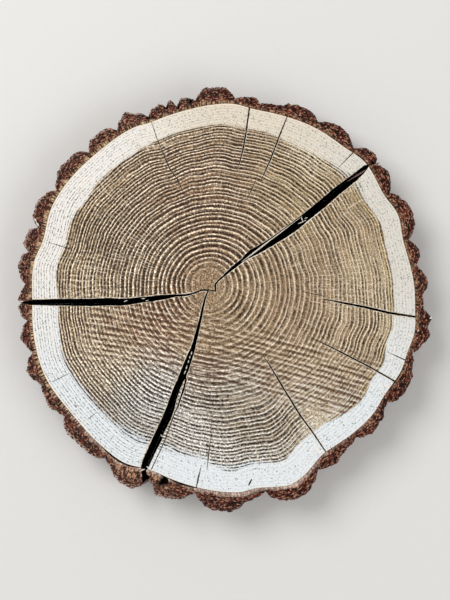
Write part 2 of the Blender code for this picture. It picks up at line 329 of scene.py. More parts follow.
CRACKS = (
    Crack("north_east", CrackKind.THROUGH, (
        (0.0006, -0.0042, 0.0008), (0.0036, -0.0048, 0.0008), (0.0061, -0.0053, 0.0012),
        (0.0061, -0.0004, 0.0014), (0.0083, 0.0024, 0.0013), (0.0117, 0.0054, 0.0014),
        (0.0176, 0.0106, 0.0023), (0.0220, 0.0140, 0.0026), (0.0251, 0.0164, 0.0025),
        (0.0284, 0.0192, 0.0036), (0.0320, 0.0216, 0.0054), (0.0388, 0.0253, 0.0056),
        (0.0448, 0.0288, 0.0056), (0.0508, 0.0326, 0.0060), (0.0567, 0.0365, 0.0066),
        (0.0626, 0.0406, 0.0068), (0.0676, 0.0446, 0.0067), (0.0702, 0.0468, 0.0063),
        (0.0831, 0.0571, 0.0064), (0.0943, 0.0669, 0.0062), (0.1065, 0.0763, 0.0054),
        (0.1120, 0.0813, 0.0046), (0.1150, 0.0842, 0.0030), (0.1168, 0.0858, 0.0008),
    )),
    Crack("west", CrackKind.THROUGH, (
        (0.0013, -0.0044, 0.0012), (-0.0040, -0.0043, 0.0013), (-0.0080, -0.0060, 0.0012),
        (-0.0118, -0.0072, 0.0014), (-0.0162, -0.0080, 0.0017), (-0.0228, -0.0082, 0.0016),
        (-0.0271, -0.0088, 0.0028), (-0.0336, -0.0095, 0.0038), (-0.0402, -0.0104, 0.0040),
        (-0.0468, -0.0111, 0.0042), (-0.0554, -0.0122, 0.0048), (-0.0620, -0.0127, 0.0052),
        (-0.0713, -0.0124, 0.0057), (-0.0843, -0.0129, 0.0055), (-0.1059, -0.0128, 0.0050),
        (-0.1253, -0.0130, 0.0040), (-0.1304, -0.0132, 0.0022), (-0.1330, -0.0131, 0.0008),
    )),
    Crack("south", CrackKind.THROUGH, (
        (0.0010, -0.0041, 0.0010), (-0.0013, -0.0098, 0.0013), (-0.0034, -0.0180, 0.0017),
        (-0.0046, -0.0242, 0.0019), (-0.0059, -0.0294, 0.0021), (-0.0074, -0.0355, 0.0025),
        (-0.0092, -0.0420, 0.0029), (-0.0104, -0.0466, 0.0034), (-0.0122, -0.0510, 0.0045),
        (-0.0161, -0.0613, 0.0054), (-0.0189, -0.0682, 0.0049), (-0.0221, -0.0751, 0.0049),
        (-0.0245, -0.0819, 0.0052), (-0.0266, -0.0888, 0.0060), (-0.0292, -0.0958, 0.0064),
        (-0.0337, -0.1052, 0.0061),
        (-0.0368, -0.1124, 0.0069), (-0.0402, -0.1196, 0.0063), (-0.0436, -0.1268, 0.0062),
        (-0.0452, -0.1314, 0.0056), (-0.0459, -0.1347, 0.0035), (-0.0455, -0.1383, 0.0037),
        (-0.0447, -0.1426, 0.0046), (-0.0432, -0.1498, 0.0072), (-0.0418, -0.1592, 0.0105),
    )),
    Crack("notch", CrackKind.CHECK, (
        (-0.0184, -0.0080, 0.0010), (-0.0184, -0.0097, 0.0009), (-0.0181, -0.0106, 0.0003),
    ), 0.006),
    Crack("west_hair", CrackKind.CHECK, (
        (-0.1132, 0.0298, 0.0003), (-0.1050, 0.0272, 0.0006), (-0.0967, 0.0246, 0.0004),
    ), 0.003),
    Crack("south_west_hair", CrackKind.CHECK, (
        (-0.1116, -0.0706, 0.0003), (-0.1050, -0.0672, 0.0006), (-0.0991, -0.0643, 0.0004),
    ), 0.003),
    Crack("south_west_spur", CrackKind.CHECK, (
        (-0.0857, -0.0975, 0.0003), (-0.0822, -0.0946, 0.0005), (-0.0788, -0.0920, 0.0003),
    ), 0.003),
    Crack("east", CrackKind.CHECK, (
        (0.1542, -0.0244, 0.0012), (0.1310, -0.0208, 0.0018), (0.1137, -0.0167, 0.0018),
        (0.0993, -0.0139, 0.0015), (0.0890, -0.0119, 0.0011), (0.0828, -0.0108, 0.0004),
    ), 0.014),
    Crack("inner_east", CrackKind.CHECK, (
        (0.0676, -0.0052, 0.0003), (0.0760, -0.0070, 0.0007), (0.0855, -0.0091, 0.0004),
    ), 0.004),
    Crack("east_south_east", CrackKind.CHECK, (
        (0.1462, -0.0565, 0.0010), (0.1294, -0.0487, 0.0003),
    ), 0.008),
    Crack("south_east", CrackKind.CHECK, (
        (0.1390, -0.0723, 0.0010), (0.1177, -0.0601, 0.0012), (0.0935, -0.0476, 0.0011),
        (0.0820, -0.0420, 0.0008), (0.0745, -0.0384, 0.0003),
    ), 0.011),
    Crack("south_south_east", CrackKind.CHECK, (
        (0.0872, -0.1233, 0.0007), (0.0756, -0.1061, 0.0011), (0.0669, -0.0944, 0.0014),
        (0.0547, -0.0745, 0.0013), (0.0460, -0.0600, 0.0010), (0.0401, -0.0511, 0.0003),
    ), 0.012),
    Crack("beside_south", CrackKind.CHECK, (
        (-0.0410, -0.1354, 0.0007), (-0.0310, -0.1142, 0.0007), (-0.0252, -0.0980, 0.0008),
        (-0.0224, -0.0908, 0.0008), (-0.0211, -0.0888, 0.0011), (-0.0190, -0.0819, 0.0014),
        (-0.0166, -0.0751, 0.0016), (-0.0152, -0.0690, 0.0014), (-0.0157, -0.0634, 0.0010),
    ), 0.008),
    Crack("low_south", CrackKind.CHECK, (
        (0.0040, -0.0835, 0.0002), (0.0027, -0.1109, 0.0005), (0.0011, -0.1231, 0.0010),
        (-0.0001, -0.1339, 0.0004),
    ), 0.004),
    Crack("rim_south", CrackKind.CHECK, (
        (-0.0043, -0.1316, 0.0004), (-0.0061, -0.1390, 0.0010), (-0.0078, -0.1470, 0.0009),
    ), 0.005),
    Crack("rim_south_east", CrackKind.CHECK, (
        (0.0322, -0.1405, 0.0007), (0.0311, -0.1428, 0.0013), (0.0299, -0.1452, 0.0007),
    ), 0.006),
    Crack("north", CrackKind.CHECK, (
        (0.0309, 0.1288, 0.0010), (0.0280, 0.1082, 0.0012), (0.0259, 0.0964, 0.0011),
        (0.0238, 0.0885, 0.0008), (0.0226, 0.0848, 0.0003),
    ), 0.009),
    Crack("north_north_east", CrackKind.CHECK, (
        (0.0586, 0.1226, 0.0007), (0.0512, 0.1041, 0.0011), (0.0458, 0.0897, 0.0012),
        (0.0420, 0.0812, 0.0009), (0.0387, 0.0744, 0.0003),
    ), 0.010),
    Crack("inner_north_north_east", CrackKind.CHECK, (
        (0.0350, 0.0745, 0.0004), (0.0333, 0.0704, 0.0010), (0.0311, 0.0658, 0.0009),
        (0.0287, 0.0604, 0.0003),
    ), 0.005),
    Crack("north_north_west", CrackKind.CHECK, (
        (-0.0408, 0.1190, 0.0004), (-0.0363, 0.1055, 0.0005), (-0.0322, 0.0959, 0.0007),
        (-0.0267, 0.0828, 0.0008), (-0.0211, 0.0752, 0.0006), (-0.0156, 0.0628, 0.0003),
    ), 0.010),
    Crack("beside_north_east", CrackKind.CHECK, (
        (0.1057, 0.0949, 0.0009), (0.0945, 0.0838, 0.0003),
    ), 0.008),
)


class Board:
    """A material's node tree, with a short call for each kind of node that the finishes use."""

    def __init__(self, name: str) -> None:
        """Start a material with a Principled shader.

        Args:
            name: The material's name.
        """
        self.material = bpy.data.materials.new(name)
        self.material.use_nodes = True
        self.tree = self.material.node_tree
        self.shader = self.tree.nodes["Principled BSDF"]
        self.places = self.add("ShaderNodeTexCoord").outputs["Object"]

    def add(self, kind: str, **settings: object) -> bpy.types.Node:
        """Add a node.

        Args:
            kind: Its type's identifier.
            **settings: Properties to set on it.

        Returns:
            The node.
        """
        node = self.tree.nodes.new(kind)
        for name, value in settings.items():
            setattr(node, name, value)
        return node

    def feed(self, socket: bpy.types.NodeSocket, value: object) -> None:
        """Give a socket a link or a fixed value.

        Args:
            socket: The input.
            value: An output socket, a number, a vector or a colour.
        """
        if isinstance(value, bpy.types.NodeSocket):
            self.tree.links.new(value, socket)
        elif isinstance(value, tuple) and socket.type == "RGBA" and len(value) == 3:
            socket.default_value = (*value, 1.0)
        else:
            socket.default_value = value

    def sum(self, operation: str, *values: object, clamp: bool = False) -> bpy.types.NodeSocket:
        """Work out a number.

        Args:
            operation: The Math node's operation.
            *values: Its inputs in order.
            clamp: Whether to keep the result between 0 and 1.

        Returns:
            The result's socket.
        """
        node = self.add("ShaderNodeMath", operation=operation, use_clamp=clamp)
        for socket, value in zip(node.inputs, values):
            self.feed(socket, value)
        return node.outputs[0]

    def rise(self, value: object, low: object, high: object, bottom: float = 0.0,
             top: float = 1.0) -> bpy.types.NodeSocket:
        """Turn a number into a smooth step.

        Args:
            value: The number.
            low: Where the step starts.
            high: Where it ends.
            bottom: Result at the start.
            top: Result at the end.

        Returns:
            The step's socket.
        """
        node = self.add("ShaderNodeMapRange", interpolation_type="SMOOTHSTEP")
        for name, given in zip(("Value", "From Min", "From Max", "To Min", "To Max"),
                               (value, low, high, bottom, top)):
            self.feed(node.inputs[name], given)
        return node.outputs["Result"]

    def cloud(self, vector: object, scale: float, detail: float = 2.0,
              rough: float = 0.5) -> bpy.types.NodeSocket:
        """Add soft noise.

        Args:
            vector: Where it is read.
            scale: How many patches to a metre, or to a unit of the vector.
            detail: How many finer layers it has.
            rough: How strong the finer layers are.

        Returns:
            A socket between 0 and 1, mostly near a half.
        """
        node = self.add("ShaderNodeTexNoise")
        self.feed(node.inputs["Vector"], vector)
        node.inputs["Scale"].default_value = scale
        node.inputs["Detail"].default_value = detail
        node.inputs["Roughness"].default_value = rough
        return node.outputs["Fac"]

    def cells(self, vector: object, scale: float) -> bpy.types.NodeSocket:
        """Add cells, read as the distance to their middles.

        Args:
            vector: Where they are read.
            scale: How many cells to a metre, or to a unit of the vector.

        Returns:
            The distance's socket.
        """
        node = self.add("ShaderNodeTexVoronoi", feature="F1")
        self.feed(node.inputs["Vector"], vector)
        node.inputs["Scale"].default_value = scale
        return node.outputs["Distance"]

    def lined(self, vector: object, length: float, width: float,
              turn: float = 0.0) -> bpy.types.NodeSocket:
        """Turn places so that noise of scale 1 read there makes lines of a given size.

        Args:
            vector: The places.
            length: The lines' length in metres.
            width: Their width in metres.
            turn: The direction they run in, in degrees about Z.

        Returns:
            The new places' socket.
        """
        node = self.add("ShaderNodeMapping", vector_type="TEXTURE")
        self.feed(node.inputs["Vector"], vector)
        node.inputs["Scale"].default_value = (length, width, length)
        node.inputs["Rotation"].default_value = (0.0, 0.0, math.radians(turn))
        return node.outputs["Vector"]

    def stretched(self, vector: object,
                  scale: tuple[float, float, float]) -> bpy.types.NodeSocket:
        """Stretch the places that a pattern is read at.

        Args:
            vector: The places.
            scale: Factors along X, Y and Z.

        Returns:
            The new places' socket.
        """
        node = self.add("ShaderNodeMapping", vector_type="POINT")
        self.feed(node.inputs["Vector"], vector)
        node.inputs["Scale"].default_value = scale
        return node.outputs["Vector"]

    def joined(self, x: object, y: object, z: object = 0.0) -> bpy.types.NodeSocket:
        """Make a vector of three numbers.

        Args:
            x: First number.
            y: Second number.
            z: Third number.

        Returns:
            The vector's socket.
        """
        node = self.add("ShaderNodeCombineXYZ")
        for socket, value in zip(node.inputs, (x, y, z)):
            self.feed(socket, value)
        return node.outputs[0]

    def split(self, vector: object) -> tuple[bpy.types.NodeSocket, ...]:
        """Take a vector apart.

        Args:
            vector: The vector.

        Returns:
            The sockets of its three numbers.
        """
        node = self.add("ShaderNodeSeparateXYZ")
        self.feed(node.inputs[0], vector)
        return tuple(node.outputs)

    def band(self, share: object, start: float, full: float, fade: float,
             end: float) -> bpy.types.NodeSocket:
        """Turn a number into a soft-edged band.

        Args:
            share: The number.
            start: Where the band starts to rise.
            full: Where it is full.
            fade: Where it starts to fall.
            end: Where it has gone.

        Returns:
            The band's socket, from 0 to 1.
        """
        rise = self.rise(share, start, full)
        return self.sum("MULTIPLY", rise, self.rise(share, fade, end, 1.0, 0.0))

    def near(self, places: object, spot: "Spot") -> bpy.types.NodeSocket:
        """Say how much of a spot is felt at each place.

        Args:
            places: The places.
            spot: The spot, on the upper face.

        Returns:
            A socket that is the spot's amount at its middle and 0 outside it.
        """
        node = self.add("ShaderNodeVectorMath", operation="DISTANCE")
        self.feed(node.inputs[0], places)
        node.inputs[1].default_value = (spot.x, spot.y, 0.0)
        return self.rise(node.outputs["Value"], spot.radius, 0.2 * spot.radius, 0.0, spot.amount)

    def direction(self, places: object, pith: Vector) -> bpy.types.NodeSocket:
        """Find which way each place lies from the pith, as a vector one long.

        Args:
            places: The places.
            pith: The pith, on the underside.

        Returns:
            The direction's socket.
        """
        flat = self.add("ShaderNodeVectorMath", operation="MULTIPLY_ADD")
        self.feed(flat.inputs[0], places)
        flat.inputs[1].default_value = (1.0, 1.0, 0.0)
        flat.inputs[2].default_value = -pith
        unit = self.add("ShaderNodeVectorMath", operation="NORMALIZE")
        self.feed(unit.inputs[0], flat.outputs["Vector"])
        return unit.outputs["Vector"]

    def fanned(self, around: Sequence[bpy.types.NodeSocket], spread: float,
               along: object) -> bpy.types.NodeSocket:
        """Make places that run out from the pith, for patterns drawn along the rays.

        Args:
            around: The direction from the pith.
            spread: How many units of the pattern go to a turn of one radian.
            along: The place along the ray.

        Returns:
            The places' socket.
        """
        sideways = [self.sum("MULTIPLY", part, spread) for part in around[:2]]
        return self.joined(*sideways, along)

    def strongest(self, places: object, spots: Sequence["Spot"]) -> bpy.types.NodeSocket:
        """Say how much of the strongest of several spots is felt at each place.

        Args:
            places: The places.
            spots: The spots.

        Returns:
            The amount's socket.
        """
        felt = self.near(places, spots[0])
        for spot in spots[1:]:
            felt = self.sum("MAXIMUM", felt, self.near(places, spot))
        return felt

    def lottery(self, number: object) -> bpy.types.NodeSocket:
        """Draw a fixed lot of three values for each whole number.

        Args:
            number: The number.

        Returns:
            A colour's socket, each part from 0 to 1.
        """
        node = self.add("ShaderNodeTexWhiteNoise", noise_dimensions="1D")
        self.feed(node.inputs["W"], number)
        return node.outputs["Color"]

    def shade(self, colour: object, factor: object) -> bpy.types.NodeSocket:
        """Darken or lighten a colour.

        Args:
            colour: The colour.
            factor: What it is multiplied by.

        Returns:
            The new colour's socket.
        """
        node = self.add("ShaderNodeVectorMath", operation="SCALE")
        self.feed(node.inputs[0], colour)
        self.feed(node.inputs["Scale"], factor)
        return node.outputs["Vector"]

    def map_numbers(self, name: str) -> tuple[bpy.types.NodeSocket, bpy.types.NodeSocket]:
        """Read both numbers of one of the piece's maps.

        Args:
            name: The map's name.

        Returns:
            The sockets of its first and second number.
        """
        node = self.add("ShaderNodeUVMap", uv_map=name)
        numbers = self.split(node.outputs["UV"])
        return numbers[0], numbers[1]

    def mix_number(self, share: object, first: object, second: object) -> bpy.types.NodeSocket:
        """Mix two numbers.

        Args:
            share: How much of the second one.
            first: A number.
            second: Another.

        Returns:
            The mixed number's socket.
        """
        node = self.add("ShaderNodeMix", data_type="FLOAT")
        self.feed(node.inputs[0], share)
        self.feed(node.inputs[2], first)
        self.feed(node.inputs[3], second)
        return node.outputs[0]

    def mix(self, share: object, first: object, second: object,
            blend: str = "MIX") -> bpy.types.NodeSocket:
        """Mix two colours.

        Args:
            share: How much of the second one.
            first: A colour.
            second: Another.
            blend: The blending mode.

        Returns:
            The mixed colour's socket.
        """
        node = self.add("ShaderNodeMix", data_type="RGBA", blend_type=blend)
        self.feed(node.inputs[0], share)
        self.feed(node.inputs[6], first)
        self.feed(node.inputs[7], second)
        return node.outputs[2]

    def finish(self, colour: object, roughness: object, height: object, relief: float,
               strength: float = 1.0, gloss: float = 0.25) -> bpy.types.Material:
        """Connect the shader.

        Args:
            colour: Its base colour.
            roughness: Its roughness.
            height: The relief's height, from 0 to 1.
            relief: The relief's depth in metres.
            strength: How strongly the relief shows.
            gloss: The strength of its reflections.

        Returns:
            The finished material.
        """
        self.feed(self.shader.inputs["Base Color"], colour)
        self.feed(self.shader.inputs["Roughness"], roughness)
        self.shader.inputs["Specular IOR Level"].default_value = gloss
        bump = self.add("ShaderNodeBump")
        bump.inputs["Distance"].default_value = relief
        bump.inputs["Strength"].default_value = strength
        self.feed(bump.inputs["Height"], height)
        self.feed(self.shader.inputs["Normal"], bump.outputs[0])
        return self.material


class Maps(Enum):
    """The maps that carry a piece's growth over its surface."""

    RINGS = "rings_and_heart"
    RIM = "rim"
    BARK = "bark_depth"


def srgb(red: int, green: int, blue: int) -> Colour:
    """Turn a colour as seen on a screen into linear light.

    Args:
        red: From 0 to 255.
        green: From 0 to 255.
        blue: From 0 to 255.

    Returns:
        The three linear values.
    """
    values = []
    for part in (red, green, blue):
        share = part / 255.0
        values.append(share / 12.92 if share <= 0.04045 else ((share + 0.055) / 1.055) ** 2.4)
    return tuple(values)


@dataclass(frozen=True)
class Spot:
    """A soft round zone on the wood, in metres, with how much it does at its middle."""

    x: float
    y: float
    radius: float
    amount: float
    colour: Colour = (0.0, 0.0, 0.0)


@dataclass(frozen=True)
class SawMarks:
    """The faint arcs that the saw left, as lines y + slope x + bow x squared = constant."""

    slope: float = 0.23
    bow: float = 0.40
    spacing: float = 4.1 * MM
    zone: tuple[float, float, float, float] = (-0.074, -0.054, -0.026, -0.004)
    elsewhere: float = 0.12
    lean: float = -12.0
    waver_size: tuple[float, float] = (0.040, 0.010)
    break_size: tuple[float, float] = (0.0130, 0.0026)


@dataclass(frozen=True)
class GrainRates:
    """How many patches or cells to a metre, or to a unit round the pith, each pattern has."""

    speckle: float = 900.0
    hue: float = 330.0
    bead: float = 680.0
    run: float = 210.0
    crisp: float = 860.0
    grit: float = 610.0
    pore: float = 720.0
    loose_pore: float = 640.0
    sap_pit: float = 560.0
    sap_dot: float = 640.0
    sap_stray: float = 330.0
    heart_edge: float = 190.0
    wobble: float = 70.0
    tremble: float = 620.0
    ray_patch: float = 22.0
    ray_waver: float = 60.0
    saw_patch: float = 240.0
    fade_fan: float = 3.4
    sector_fan: float = 2.6
    kink_fan: float = 5.5
    ray_fan: float = 62.0
    lattice_fan: float = 25.0


class SawnFace(Board):
    """The end grain's node tree, with what is known of each place on a sawn face."""

    def __init__(self, pith: Vector) -> None:
        """Read the maps and the places.

        Args:
            pith: The pith, on the underside.
        """
        super().__init__("oak_end_grain")
        self.rings, self.beyond_heart = self.map_numbers(Maps.RINGS.value)
        self.within_bark, _ = self.map_numbers(Maps.RIM.value)
        self.x, self.y, _ = self.split(self.places)
        self.flat = self.joined(self.x, self.y)
        self.around = self.split(self.direction(self.flat, pith))
        self.low = self.rise(self.y, -0.060, -0.095)
        self.left = self.rise(self.x, 0.035, -0.020)
        self.lively = self.sum("MAXIMUM", self.low, self.left)
        self.in_heart = self.rise(self.beyond_heart, 0.5, -1.0)


@dataclass(frozen=True)
class Growth:
    """How far each place is through its year's ring, three fixed lots for the year, its number."""

    share: bpy.types.NodeSocket
    lot: Sequence[bpy.types.NodeSocket]
    year: bpy.types.NodeSocket


@dataclass(frozen=True)
class SawLines:
    """How strongly the saw's marks show at each place, the dark marks and the pale ones."""

    zone: bpy.types.NodeSocket
    dark: bpy.types.NodeSocket
    pale: bpy.types.NodeSocket


@dataclass(frozen=True)
class EndGrainFinish:
    """Sawn oak end grain: rings of pores, pale rays, heartwood, sapwood and saw marks."""

    pith: Vector
    rates: GrainRates = GrainRates()
    pore: Colour = srgb(28, 17, 10)
    olive_band: Colour = srgb(42, 29, 14)
    brown_band: Colour = srgb(48, 24, 16)
    saw_band: Colour = srgb(84, 56, 38)
    wood: Colour = srgb(156, 131, 101)
    pale_line: Colour = srgb(255, 238, 212)
    low_line: Colour = srgb(244, 243, 238)
    sap_top: Colour = srgb(222, 211, 193)
    sap_right: Colour = srgb(218, 213, 203)
    sap_left: Colour = srgb(236, 232, 226)
    sap_low: Colour = srgb(228, 232, 234)
    sap_rim: Colour = srgb(242, 224, 202)
    sap_pore: Colour = srgb(86, 78, 66)
    low_pore: Colour = srgb(80, 86, 88)
    heart_rim: Colour = srgb(176, 154, 98)
    warm_cast: Colour = (0.52, 0.50, 0.475)
    cool_cast: Colour = (0.49, 0.502, 0.505)
    roughness: float = 0.76
    relief: float = 0.14 * MM
    saw: SawMarks = SawMarks()
    ring_spots: tuple[Spot, ...] = (
        Spot(-0.012, 0.078, 0.070, 0.35),
        Spot(0.006, 0.045, 0.040, 0.30),
        Spot(-0.050, 0.030, 0.062, 0.40),
        Spot(-0.106, 0.010, 0.050, 0.25),
        Spot(-0.070, 0.070, 0.050, 0.30),
        Spot(0.034, -0.104, 0.042, 0.60),
        Spot(-0.064, -0.078, 0.055, 0.60),
        Spot(-0.080, -0.084, 0.030, 0.90),
        Spot(-0.105, -0.040, 0.030, 0.60),
        Spot(0.066, -0.090, 0.032, -0.75),
        Spot(0.105, 0.022, 0.050, -0.55),
        Spot(0.080, 0.045, 0.040, -0.25),
        Spot(0.020, 0.000, 0.040, -0.25),
    )
    calm: tuple[Spot, ...] = (
        Spot(-0.012, -0.024, 0.036, 0.55),
        Spot(0.055, 0.004, 0.050, 0.30),
        Spot(0.095, 0.025, 0.050, 0.20),
        Spot(0.098, 0.071, 0.018, 0.45),
    )
    tints: tuple[Spot, ...] = (
        Spot(-0.015, 0.065, 0.070, 0.45, srgb(140, 102, 80)),
        Spot(-0.050, -0.012, 0.045, 0.60, srgb(142, 102, 80)),
        Spot(0.060, -0.010, 0.040, 0.40, srgb(160, 126, 100)),
        Spot(-0.085, 0.030, 0.060, 0.45, srgb(138, 120, 80)),
        Spot(-0.076, 0.044, 0.042, 0.75, srgb(110, 88, 62)),
        Spot(0.006, 0.100, 0.024, 0.75, srgb(126, 98, 74)),
        Spot(0.008, 0.078, 0.024, 0.35, srgb(130, 100, 76)),
        Spot(-0.050, 0.030, 0.028, 0.35, srgb(118, 94, 70)),
        Spot(0.060, 0.085, 0.060, 0.40, srgb(168, 150, 106)),
        Spot(0.105, 0.010, 0.050, 0.55, srgb(190, 172, 140)),
        Spot(-0.095, -0.041, 0.036, 0.50, srgb(194, 176, 148)),
        Spot(0.073, -0.051, 0.038, 0.50, srgb(192, 170, 138)),
        Spot(-0.050, -0.066, 0.042, 0.75, srgb(196, 198, 198)),
        Spot(0.005, -0.070, 0.042, 0.50, srgb(176, 174, 166)),
        Spot(0.030, -0.100, 0.040, 0.45, srgb(166, 148, 120)),
        Spot(-0.060, -0.084, 0.036, 0.55, srgb(184, 178, 166)),
        Spot(-0.024, -0.102, 0.034, 0.75, srgb(226, 220, 212)),
        Spot(0.010, -0.130, 0.055, 0.60, srgb(226, 224, 216)),
        Spot(0.066, -0.088, 0.034, 0.60, srgb(204, 190, 162)),
        Spot(-0.011, -0.052, 0.024, 0.75, srgb(130, 106, 86)),
        Spot(0.012, -0.088, 0.032, 0.65, srgb(150, 128, 98)),
        Spot(0.045, -0.088, 0.022, 0.60, srgb(142, 120, 96)),
        Spot(0.073, 0.024, 0.024, 0.40, srgb(138, 112, 86)),
        Spot(0.082, -0.068, 0.020, 0.35, srgb(140, 116, 90)),
        Spot(0.092, 0.062, 0.028, 0.28, srgb(202, 182, 148)),
        Spot(-0.077, -0.051, 0.022, 0.55, srgb(206, 190, 164)),
        Spot(-0.058, -0.088, 0.018, 0.40, srgb(204, 198, 188)),
        Spot(-0.002, -0.108, 0.020, 0.65, srgb(226, 218, 206)),
        Spot(0.068, 0.112, 0.032, 0.85, srgb(222, 208, 180)),
        Spot(-0.060, 0.020, 0.034, 0.35, srgb(112, 88, 64)),
        Spot(-0.094, -0.048, 0.030, 0.45, srgb(214, 198, 170)),
        Spot(0.052, -0.072, 0.022, 0.45, srgb(190, 172, 142)),
        Spot(0.092, 0.060, 0.022, 0.30, srgb(140, 118, 92)),
    )
    woven: tuple[Spot, ...] = (
        Spot(-0.064, 0.036, 0.034, 0.80),
        Spot(-0.100, 0.016, 0.036, 0.70),
        Spot(0.084, 0.010, 0.040, 0.60),
        Spot(-0.080, 0.075, 0.040, 0.40),
        Spot(0.050, -0.085, 0.050, 0.40),
    )
    deep: Spot = Spot(0.020, -0.112, 0.070, 0.85)
    slate: Spot = Spot(-0.080, -0.090, 0.040, 0.70)
    # A painted pool of light: inside this spot the pale ring lines are brightened.
    lit: Spot = Spot(-0.050, -0.058, 0.032, 0.60)
    slate_band: Colour = srgb(62, 68, 68)
    soft_edges: tuple[Spot, ...] = (
        Spot(-0.010, -0.140, 0.060, 0.6),
        Spot(-0.062, -0.118, 0.045, 1.0),
        Spot(-0.110, -0.065, 0.040, 0.3),
        Spot(0.091, 0.084, 0.024, 0.6),
    )
    clear_rows: tuple[Spot, ...] = (
        Spot(-0.120, 0.020, 0.150, 0.60),
        Spot(-0.100, -0.095, 0.085, 0.50),
    )

    def make(self) -> bpy.types.Material:
        """Build the material.

        Returns:
            The material.
        """
        face = SawnFace(self.pith)
        flat = face.flat
        speckle = face.cloud(flat, self.rates.speckle, 2.0, 0.7)
        hue = face.cloud(flat, self.rates.hue, 2.0, 0.7)
        growth = self.ring_shares(face)
        near_pith = self.clear_of_pith(face)
        saw = self.saw_lines(face)
        soft = face.strongest(flat, self.soft_edges)
        band = self.dark_bands(face, growth, near_pith, saw, soft)
        light = self.pale_lines(face, growth, near_pith, saw)
        pale = face.mix(face.rise(face.y, -0.035, -0.085), self.pale_line, self.low_line)
        heart = self.heartwood(face, light, pale, speckle)
        sap = self.sapwood(face, growth)

        edge_noise = face.sum("SUBTRACT", face.cloud(flat, self.rates.heart_edge, 2.0), 0.5)
        edge = face.sum("MULTIPLY_ADD", edge_noise, 4.0, face.beyond_heart)
        edge_start = face.sum("MULTIPLY_ADD", soft, -4.5, -0.8)
        edge_end = face.sum("MULTIPLY_ADD", soft, 1.5, 0.9)
        colour = face.mix(face.rise(edge, edge_start, edge_end), heart, sap)
        colour = face.shade(colour, face.rise(speckle, 0.34, 0.66, 0.90, 1.07))
        colour = face.mix(0.5, colour, face.mix(
            face.rise(hue, 0.40, 0.60), self.warm_cast, self.cool_cast), "OVERLAY")

        dark_colour = face.mix(face.rise(hue, 0.42, 0.58), self.olive_band, self.brown_band)
        dark_colour = face.mix(face.near(flat, self.deep), dark_colour, self.pore)
        dark_colour = face.mix(face.near(flat, self.slate), dark_colour, self.slate_band)
        colour = face.mix(face.sum("MULTIPLY", band, 0.97), colour, dark_colour)
        dots = face.rise(face.cells(flat, self.rates.pore), 0.26, 0.62, 1.0, 0.0)
        dotted = face.sum("MULTIPLY", band, dots)
        colour = face.mix(dotted, colour, self.pore)
        loose = face.rise(face.cells(flat, self.rates.loose_pore), 0.14, 0.32, 0.60, 0.0)
        colour = face.mix(face.sum("MULTIPLY", loose, face.in_heart), colour, dark_colour)
        bright = face.sum("MULTIPLY", saw.pale, face.sum("MULTIPLY", face.in_heart, 0.50))
        colour = face.mix(bright, colour, pale)
        streaks = face.sum("MULTIPLY", saw.dark, face.sum("MULTIPLY", face.in_heart, 0.90))
        colour = face.mix(streaks, colour, self.saw_band)
        colour = face.mix(self.pale_rays(face), colour, self.pale_line)

        height = face.sum("MULTIPLY_ADD", dotted, -0.6, 0.8)
        height = face.sum("MULTIPLY_ADD", speckle, 0.25, height)
        return face.finish(colour, self.roughness, height, self.relief, 0.5)

    def ring_shares(self, face: SawnFace) -> Growth:
        """Find how far each place is through its year's ring.

        Args:
            face: The sawn face.

        Returns:
            The growth at each place.
        """
        rates, flat, rings = self.rates, face.flat, face.rings
        kink_places = face.fanned(face.around, rates.kink_fan, face.sum("MULTIPLY", rings, 0.045))
        kinks = face.sum("SUBTRACT", face.cells(kink_places, 1.0), 0.45)
        kinks = face.sum("MULTIPLY", kinks, face.rise(rings, 8.0, 30.0))
        wobble = face.sum("SUBTRACT", face.cloud(flat, rates.wobble, 2.0), 0.5)
        tremble = face.sum("SUBTRACT", face.cloud(flat, rates.tremble, 1.0), 0.5)
        years = face.sum("SUBTRACT", face.cloud(face.joined(rings, 0.0), 0.55, 0.0), 0.5)
        count = face.sum("MULTIPLY_ADD", kinks, 0.9, rings)
        count = face.sum("MULTIPLY_ADD", wobble, 0.5, count)
        count = face.sum("MULTIPLY_ADD", years, 0.9, count)
        ragged = face.sum("MULTIPLY_ADD", tremble, 0.30, count)
        year = face.sum("FLOOR", ragged)
        lot = face.split(face.lottery(year))
        return Growth(face.sum("FRACT", ragged), lot, year)

    def clear_of_pith(self, face: SawnFace) -> bpy.types.NodeSocket:
        """Fade the rings near the pith and in the calm zones.

        Args:
            face: The sawn face.

        Returns:
            How much of the rings is left at each place.
        """
        left = face.rise(face.rings, 1.2, 6.5, 0.12, 1.0)
        for spot in self.calm:
            left = face.sum("MULTIPLY_ADD", face.near(face.flat, spot), -1.0, left)
        return face.sum("MAXIMUM", left, 0.10)

    def faded(self, face: SawnFace, growth: Growth, seed: float) -> bpy.types.NodeSocket:
        """Draw long soft patches that each year's ring has of its own.

        Args:
            face: The sawn face.
            growth: The growth at each place.
            seed: Which patches.

        Returns:
            A socket between 0 and 1, mostly near a half.
        """
        along = face.sum("MULTIPLY_ADD", growth.year, 5.17, seed)
        return face.cloud(face.fanned(face.around, self.rates.fade_fan, along), 1.0, 2.0, 0.65)

